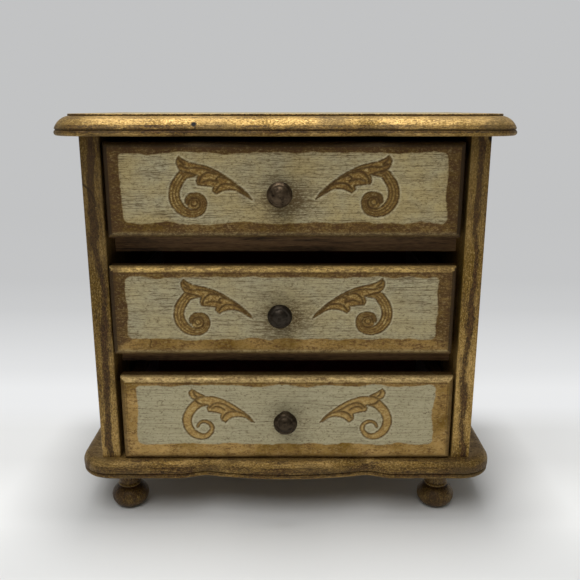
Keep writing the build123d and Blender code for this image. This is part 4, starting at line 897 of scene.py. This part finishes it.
    rows, columns = x.shape
    face = np.stack([x, y, z], axis=-1).reshape(-1, 3)
    index = np.arange(rows * columns).reshape(rows, columns)
    ring = np.concatenate([index[0, :-1], index[:-1, -1], index[-1, :0:-1], index[:0:-1, 0]])
    lap_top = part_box("drawer_" + name + "_side_left")[1].z
    loops = [face[ring].copy() for _ in range(3)]
    loops[0][:, 1] = loops[1][:, 1] = low.y + sizes.slab
    loops[2][:, 1] = high.y
    for loop in loops[1:]:
        tucked = loop[:, 2] < lap_top
        loop[tucked, 0] = np.clip(loop[tucked, 0], low.x + sizes.lap, high.x - sizes.lap)
    n = len(ring)
    start = rows * columns
    points = np.vstack([face, *loops])
    faces = grid_quads(rows, columns).tolist()
    around = np.arange(n)
    nexts = (around + 1) % n
    faces += np.stack([ring, ring[nexts], start + nexts, start + around], axis=1).tolist()
    faces += (start + grid_quads(3, n, close_columns=True)).tolist()
    faces.append((start + 2 * n + around).tolist())
    extra = np.zeros(3 * n)
    drawn = {"gilt": (np.maximum(border, scroll), 1), "scroll": (scroll, 0), "ridge": (ridge, 0),
             "line": (groove, 0), "halo": (halo * (1 - border), 0), "rub": (rub, 0), "tone": (tone, 0.8),
             "bevel_shade": (bevel_shade, by_side), "crown": (crown, 0), "worn_arris_and_highlight": (worn_arris_and_highlight, 0), "crease": (crease, 0)}
    marks = {key: np.concatenate([values.ravel(), extra + beyond]) for key, (values, beyond) in drawn.items()}
    return piece_from("painted_front_" + name, points, faces, marks, np.radians(55))


# Turned pieces

def knob_profile(depth, radius):
    """Half of the knob's section as (radius, distance from the drawer front): a flange, a waist, a rounded
    rim and a low dome with a dimple. It is worked out in millimetres."""
    r, end = radius / MM, depth / MM
    return MM * np.vstack([
        [(0, 0.3), (3.5, 0), (3.7, 0.15), (3.7, 0.85), (3.5, 1.0)],
        flowing([(3.2, 1.4), (2.9, 2.4), (2.9, 3.4), (3.3, 4.2), (4.4, 5.3), (5.5, 6.2)], 5),
        flowing([(r - 0.25, 6.8), (r, 7.5), (r - 0.15, 8.3), (r - 0.8, 9.3), (r - 1.3, 9.75), (r - 1.6, 9.8),
                 (r - 1.9, 9.75)], 6),
        flowing([(r - 2.2, 9.85), (3.2, 10.5), (2.0, end - 0.1), (1.1, end), (0.7, end - 0.08),
                 (0.35, end - 0.25), (0, end - 0.3)], 5),
    ])


def knob(name, sizes, seed):
    low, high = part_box("drawer_" + name + "_knob")
    turned = lathe(knob_profile(high.y - low.y, (high.x - low.x) / 2), sizes.around)
    dents = sizes.knob_dent / (6 * MM) * smooth_step(waves(turned, 2.5 * MM, seed), 0, 1)
    turned = turned * (1 - dents)[..., None]
    middle_x, _, middle_z = middle_of(low, high)
    x, z, out = (turned[..., i] for i in range(3))
    points = np.stack([middle_x + x, high.y - out, middle_z + z], axis=-1)
    faces = grid_quads(*points.shape[:2], close_columns=True).tolist()
    return piece_from("bronze_knob_" + name, points, faces, sharp_angle=np.radians(60))


def foot_profile(height):
    """Half of the foot's section as (radius, height): a small pad, a round bun, a groove, a ring and a collar
    that flares up to the board. It is worked out in millimetres."""
    ball_r, pad_r, neck_r = 10.2, 3.8, 6.2
    middle, top, tall = 6.3, 11.7, height / MM
    ring = top + 0.8
    a = np.array([[2 * (ball_r - pad_r), 2 * middle], [2 * (neck_r - pad_r), 2 * top]])
    b = np.array([ball_r**2 + middle**2 - pad_r**2, neck_r**2 + top**2 - pad_r**2])
    centre = np.linalg.solve(a, b)
    radius = np.hypot(centre[0] - pad_r, centre[1])
    start = np.degrees(np.arctan2(-centre[1], pad_r - centre[0]))
    end = np.degrees(np.arctan2(top - centre[1], neck_r - centre[0]))
    return MM * np.vstack([
        [(0, 0), (0.92 * pad_r, 0)],
        arc(centre, radius, start, end, 44),
        [(neck_r - 0.5, top + 0.2), (neck_r - 0.6, top + 0.45)],
        flowing([(neck_r - 0.1, ring), (neck_r + 0.3, ring + 0.55), (neck_r, ring + 1.15),
                 (neck_r - 0.35, ring + 1.5)], 4),
        flowing([(neck_r - 0.4, ring + 2.4), (neck_r - 0.15, ring + 5.5), (neck_r + 0.55, tall - 1.0),
                 (neck_r + 0.5, tall - 0.3), (neck_r, tall)], 5),
        [(0, tall)],
    ])


def ball_foot(name, sizes, seed):
    low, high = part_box(name)
    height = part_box("base_board")[0].z
    turned = lathe(foot_profile(height), sizes.around)
    dents = sizes.foot_dent / (10 * MM) * smooth_step(waves(turned, 4 * MM, seed), 0.1, 1.2)
    turned[..., :2] *= (1 - dents)[..., None]
    points = turned + (*middle_of(low, high)[:2], low.z)
    faces = grid_quads(*points.shape[:2], close_columns=True).tolist()
    rings = np.zeros((2, points.shape[0]))
    rings[0, 44:49] = 1.0
    rings[1, 49:59] = 1.5
    marks = {key: np.repeat(values[:, None], points.shape[1], axis=1)
             for key, values in zip(("hollow", "proud", "bloom"), (*rings, rings[0] * 0))}
    return piece_from("gilt_" + name, points, faces, marks, np.radians(60))


# Velvet linings

def lining(name, sizes):
    """A padded tray: its section runs from the underside up the outer wall, over a rolled edge, down the
    inner wall with a soft fillet and in to the middle, and each point of it is carried round the tray as a
    rounded rectangle. The floor swells a little towards the middle."""
    low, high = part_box("drawer_" + name + "_lining")
    t, roll = sizes.thickness, sizes.roll
    tall = high.z - low.z
    section = np.vstack([
        [(30 * MM, 0), (2 * MM, 0), (0, 0.3 * MM), (0, tall - 2 * roll)],
        arc((roll, tall - roll), roll, 180, 0, 9),
        flowing([(t, tall - 2 * roll), (t + 0.1 * MM, tall * 0.5), (t + 0.3 * MM, 5 * MM),
                 (t + 1.2 * MM, 2.2 * MM), (t + 3.5 * MM, t + 0.15 * MM), (t + 8 * MM, t + 0.2 * MM),
                 (30 * MM, t + 0.4 * MM)], 5),
    ])
    half = np.array([(high.x - low.x) / 2, (high.y - low.y) / 2])
    middle = np.array(middle_of(low, high)[:2])
    count = 60
    side = np.linspace(-1, 1, count, endpoint=False)
    ones = np.ones(count)
    square = np.concatenate([np.stack([side, -ones], 1), np.stack([ones, side], 1),
                             np.stack([-side, ones], 1), np.stack([-ones, -side], 1)])
    flat = square[None] * (half - np.minimum(section[:, :1], half.min() * 0.98)[:, None, :])
    flat = np.where(section[:, :1, None] >= 30 * MM, square[None] * half * 0.35, flat)
    swell = sizes.crown * (section[:, 0] > t + 5 * MM) * (section[:, 1] > 0.5 * t)
    level = np.broadcast_to((low.z + section[:, 1] + swell)[:, None, None], (*flat.shape[:2], 1))
    points = np.concatenate([flat + middle, level], axis=2)
    soft = (section[:, 1] > 0.5 * t)[:, None]
    points[..., 2] += 0.12 * MM * waves(points, 9 * MM, 31) * soft * (section[:, 0] > t)[:, None]
    rows, columns = points.shape[:2]
    faces = grid_quads(rows, columns, close_columns=True).tolist()
    faces.append(list(range(columns)))
    faces.append(list(range((rows - 1) * columns, rows * columns)))
    return piece_from("velvet_lining_" + name, points, faces, sharp_angle=np.radians(60))


# Operators

class CHEST_OT_boards(bpy.types.Operator):
    """Makes the moulded and gilt top and base boards"""
    bl_idname = "chest.boards"
    bl_label = "Moulded boards"

    def execute(self, context):
        sizes, colours = context.scene.chest_boards, context.scene.chest_colours
        top = moulded_board("top_board", sizes.top_spread, sizes.top_ovolo, sizes.top_ovolo_height, sizes,
                            grime=1.0, seed=3)
        low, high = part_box("top_board")
        # The cream field stops this far from the board's ends and from its front and back
        by_end, by_side = 16 * MM, 14 * MM
        field = ((high.x - low.x) / 2 - by_end, (high.y - low.y) / 2 - by_side, middle_of(low, high)[1],
                 high.z - 0.1 * MM)
        nail_hole = ((-43.6 * MM, -70.9 * MM, 210.9 * MM), 1.7 * MM)
        finish_with(top, worn_gilding("water_gilding_on_top", "X", colours, wear=0.28, tone=0.08, marks=True,
                                      spots=(nail_hole,), panel=field))
        hand_in(top, "case", "gilt_moulding", "top_board")
        base = moulded_board("base_board", 0, sizes.base_ovolo, sizes.base_ovolo_height, sizes,
                             grime=0.4, seed=17)
        finish_with(base, worn_gilding("water_gilding_on_base", "X", colours, wear=0.58, tone=0.20,
                                       marks=True))
        hand_in(base, "case", "gilt_moulding", "base_board")
        return {"FINISHED"}


class CHEST_OT_posts(bpy.types.Operator):
    """Gilds the side panels, whose front edges show as posts"""
    bl_idname = "chest.posts"
    bl_label = "Gilt sides"

    def execute(self, context):
        # A scratch as a circle of (x, z, radius), and a chip as its place and its reach
        scratch = (-107.5 * MM, 171.1 * MM, 13.7 * MM)
        chip = ((100.0 * MM, -68.3 * MM, 204.6 * MM), 2.4 * MM)
        # darker_at darkens each side upwards, as darker wax and as painted shade under the top board
        sides = {
            "left": {"tone": 0.12, "wear": 0.36, "streak_x": -94.6 * MM, "darker_at": (0.04, 0.17),
                     "curve": scratch},
            "right": {"tone": 0.0, "wear": 0.22, "streak_x": 95.4 * MM, "darker_at": (0.10, 0.20),
                      "spots": (chip,)},
        }
        for side, look in sides.items():
            gilding = worn_gilding("water_gilding_on_" + side + "_side", "Z", context.scene.chest_colours,
                                   streak_mm=0.7, **look)
            dress(["side_" + side], gilding)
        return {"FINISHED"}


class CHEST_OT_fronts(bpy.types.Operator):
    """Makes the painted drawer fronts with their incised gilt scrolls"""
    bl_idname = "chest.fronts"
    bl_label = "Painted fronts"

    def execute(self, context):
        sizes, colours = context.scene.chest_fronts, context.scene.chest_colours
        for i, (name, look) in enumerate(FRONTS.items()):
            finish = distressed_paint(colours, "casein_paint_and_leaf_" + name, look["grey"],
                                      look["streaky"], look["crown"])
            front = drawer_front(name, sizes, 40 + 10 * i)
            finish_with(front, finish)
            hand_in(front, "drawer_" + name, "painted_front", "drawer_" + name + "_front")
        return {"FINISHED"}


class CHEST_OT_knobs(bpy.types.Operator):
    """Makes the cast bronze-toned knobs"""
    bl_idname = "chest.knobs"
    bl_label = "Knobs"

    def execute(self, context):
        for i, (name, look) in enumerate(FRONTS.items()):
            piece = knob(name, context.scene.chest_turned, 70 + i)
            finish_with(piece, cut_metal("antiqued_brass_casting_" + name, linear(look["knob"]),
                                         linear("#2A221A"), rough=0.46, tarnish=0.4, scratch_mm=0.3))
            hand_in(piece, "drawer_" + name, "antique_knob", "drawer_" + name + "_knob")
        return {"FINISHED"}


class CHEST_OT_feet(bpy.types.Operator):
    """Makes the turned ball feet"""
    bl_idname = "chest.feet"
    bl_label = "Ball feet"

    def execute(self, context):
        gilding = worn_gilding("water_gilding_on_feet", "Z", context.scene.chest_colours, wear=0.85,
                               tone=0.45, polish=0.20, marks=True)
        for i, node in enumerate(sorted(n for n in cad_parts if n.startswith("foot_"))):
            piece = ball_foot(node, context.scene.chest_turned, 90 + i)
            finish_with(piece, gilding)
            hand_in(piece, "case", "gilt_foot", node)
        return {"FINISHED"}


class CHEST_OT_linings(bpy.types.Operator):
    """Makes the padded velvet linings of the drawers"""
    bl_idname = "chest.linings"
    bl_label = "Velvet linings"

    def execute(self, context):
        velvet = cotton_velvet(context.scene.chest_colours.velvet)
        for name in FRONTS:
            piece = lining(name, context.scene.chest_linings)
            finish_with(piece, velvet)
            hand_in(piece, "drawer_" + name, "velvet", "drawer_" + name + "_lining")
        return {"FINISHED"}


class CHEST_OT_woodwork(bpy.types.Operator):
    """Finishes the shelves, the back and the drawer boxes"""
    bl_idname = "chest.woodwork"
    bl_label = "Plain woodwork"

    def execute(self, context):
        # The shelves' colour is painted lighter than their stain, as painted light reaching them under the
        # drawer fronts
        shelf = stained_wood("stained_poplar_with_painted_light", linear("#A37A49"), linear("#3A2612"), "X")
        box = stained_wood("waxed_poplar", linear("#7A5734"), linear("#4E351D"), "Y")
        across = stained_wood("waxed_poplar_across", linear("#7A5734"), linear("#4E351D"), "X")
        back = stained_wood("stained_plywood", linear("#6E5236"), linear("#3D2B1B"), "Z", ring_mm=5.0)
        dress(["shelf_lower", "shelf_upper", "top_dowels"], shelf)
        dress(["back_panel"], back)
        for name in FRONTS:
            drawer = "drawer_" + name
            dress([drawer + "_side_left", drawer + "_side_right"], box)
            dress([drawer + "_floor", drawer + "_back"], across)
        return {"FINISHED"}


class CHEST_OT_movement(bpy.types.Operator):
    """Finishes the metal parts: the musical movement, the key and the fasteners"""
    bl_idname = "chest.movement"
    bl_label = "Movement and fasteners"

    def execute(self, context):
        brass = cut_metal("machined_brass", linear("#C4A768"), linear("#86703F"), 0.30, 0.2)
        steel = cut_metal("plain_steel", linear("#A5A5A8"), linear("#5C5A58"), 0.34, 0.3)
        blued = cut_metal("hardened_steel", linear("#7C7F86"), linear("#4A4A4E"), 0.26, 0.2)
        dress(["bedplate", "front_plate", "rear_plate", "spring_barrel", "barrel_cap", "cylinder_drum",
               "cylinder_arbor", "worm_wheel", "comb_seat", "governor_frame", "governor_fan", "winding_key",
               "stop_lever", "lever_post"], brass)
        dress(["back_brads", "side_screws", "winding_arbor", "comb_screws", "governor_worm",
               "movement_screws", *("drawer_" + name + "_knob_screw" for name in FRONTS)], steel)
        dress(["mainspring", "steel_comb"], blued)
        return {"FINISHED"}


class CHEST_OT_stage(bpy.types.Operator):
    """Makes the pale sweep with its painted glowing backdrop, the soft lights and the camera"""
    bl_idname = "chest.stage"
    bl_label = "Stage"

    def execute(self, context):
        scene = context.scene
        bend = 0.7
        bend_y = 0.9
        profile = np.vstack([[(-1.6, 0), (bend_y, 0)], arc((bend_y, bend), bend, -90, 0, 24),
                             [(bend_y + bend, 2.6)]])
        across = np.linspace(-6, 6, 3)
        points = np.stack([np.broadcast_to(across[None, :], (len(profile), 3)),
                           np.broadcast_to(profile[:, :1], (len(profile), 3)),
                           np.broadcast_to(profile[:, 1:], (len(profile), 3))], axis=-1)
        sweep = piece_from("paper_sweep", points, grid_quads(len(profile), 3).tolist())
        finish_with(sweep, paper_sweep())
        world = bpy.data.worlds.new("soft_room")
        world.use_nodes = True
        feed(world.node_tree.nodes["Background"], {"Color": linear("#F4F0E4"), "Strength": 0.16})
        scene.world = world
        # Each light's place, the point it shines at, its width in metres and its watts
        lights = (
            ("ceiling_light", (-0.15, 0.25, 1.40), (0, 0, 0.1), 1.2, 3.0),
            ("lamp_above", (0.0, 0.04, 1.30), (0, 0, 0), 0.28, 9.4),
            ("light_over_viewer", (-0.24, -0.70, 1.25), (0, 0, 0.1), 0.9, 8.0),
        )
        for name, place, aim, size, energy in lights:
            lamp = bpy.data.lights.new(name, "AREA")
            lamp.shape = "SQUARE"
            lamp.size = size
            lamp.energy = energy
            light = bpy.data.objects.new(name, lamp)
            light.location = place
            way = np.array(aim) - np.array(place)
            light.rotation_euler = Euler((np.arccos(-way[2] / np.linalg.norm(way)), 0,
                                          np.arctan2(way[1], way[0]) - np.pi / 2))
            scene.collection.objects.link(light)
        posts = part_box("side_left")[0]
        lens = bpy.data.cameras.new("camera")
        lens.lens = 42.83
        lens.sensor_width = 36.0
        camera = bpy.data.objects.new("camera", lens)
        camera.location = (2.3 * MM, posts.y - 340.9 * MM, posts.z + 183.7 * MM)
        camera.rotation_euler = Euler((np.radians(75.28), 0, 0))
        scene.collection.objects.link(camera)
        scene.camera = camera
        scene.view_settings.view_transform = "Standard"
        return {"FINISHED"}


class VIEW3D_PT_chest(bpy.types.Panel):
    """The chest's tab in the sidebar"""
    bl_label = "Musical jewellery chest"
    bl_idname = "VIEW3D_PT_chest"
    bl_space_type = "VIEW_3D"
    bl_region_type = "UI"
    bl_category = "Chest"

    def draw(self, context):
        layout = self.layout
        for group in SETTINGS:
            box = layout.box()
            settings = getattr(context.scene, group)
            for name in settings.bl_rna.properties.keys():
                if name not in ("rna_type", "name"):
                    box.prop(settings, name)
        for operator in STEPS:
            layout.operator(operator.bl_idname)


SETTINGS = {
    "chest_boards": BoardSizes,
    "chest_fronts": FrontSizes,
    "chest_turned": TurnedSizes,
    "chest_linings": LiningSizes,
    "chest_colours": ChestColours,
}
STEPS = (CHEST_OT_boards, CHEST_OT_posts, CHEST_OT_fronts, CHEST_OT_knobs, CHEST_OT_feet, CHEST_OT_linings,
         CHEST_OT_woodwork, CHEST_OT_movement, CHEST_OT_stage)


def register():
    for kind in (*SETTINGS.values(), *STEPS, VIEW3D_PT_chest):
        bpy.utils.register_class(kind)
    for name, group in SETTINGS.items():
        setattr(bpy.types.Scene, name, PointerProperty(type=group))


def unregister():
    for name in SETTINGS:
        delattr(bpy.types.Scene, name)
    for kind in reversed((*SETTINGS.values(), *STEPS, VIEW3D_PT_chest)):
        bpy.utils.unregister_class(kind)


def main():
    register()
    for operator in STEPS:
        group, action = operator.bl_idname.split(".")
        getattr(getattr(bpy.ops, group), action)()


if __name__ == "__main__":
    main()
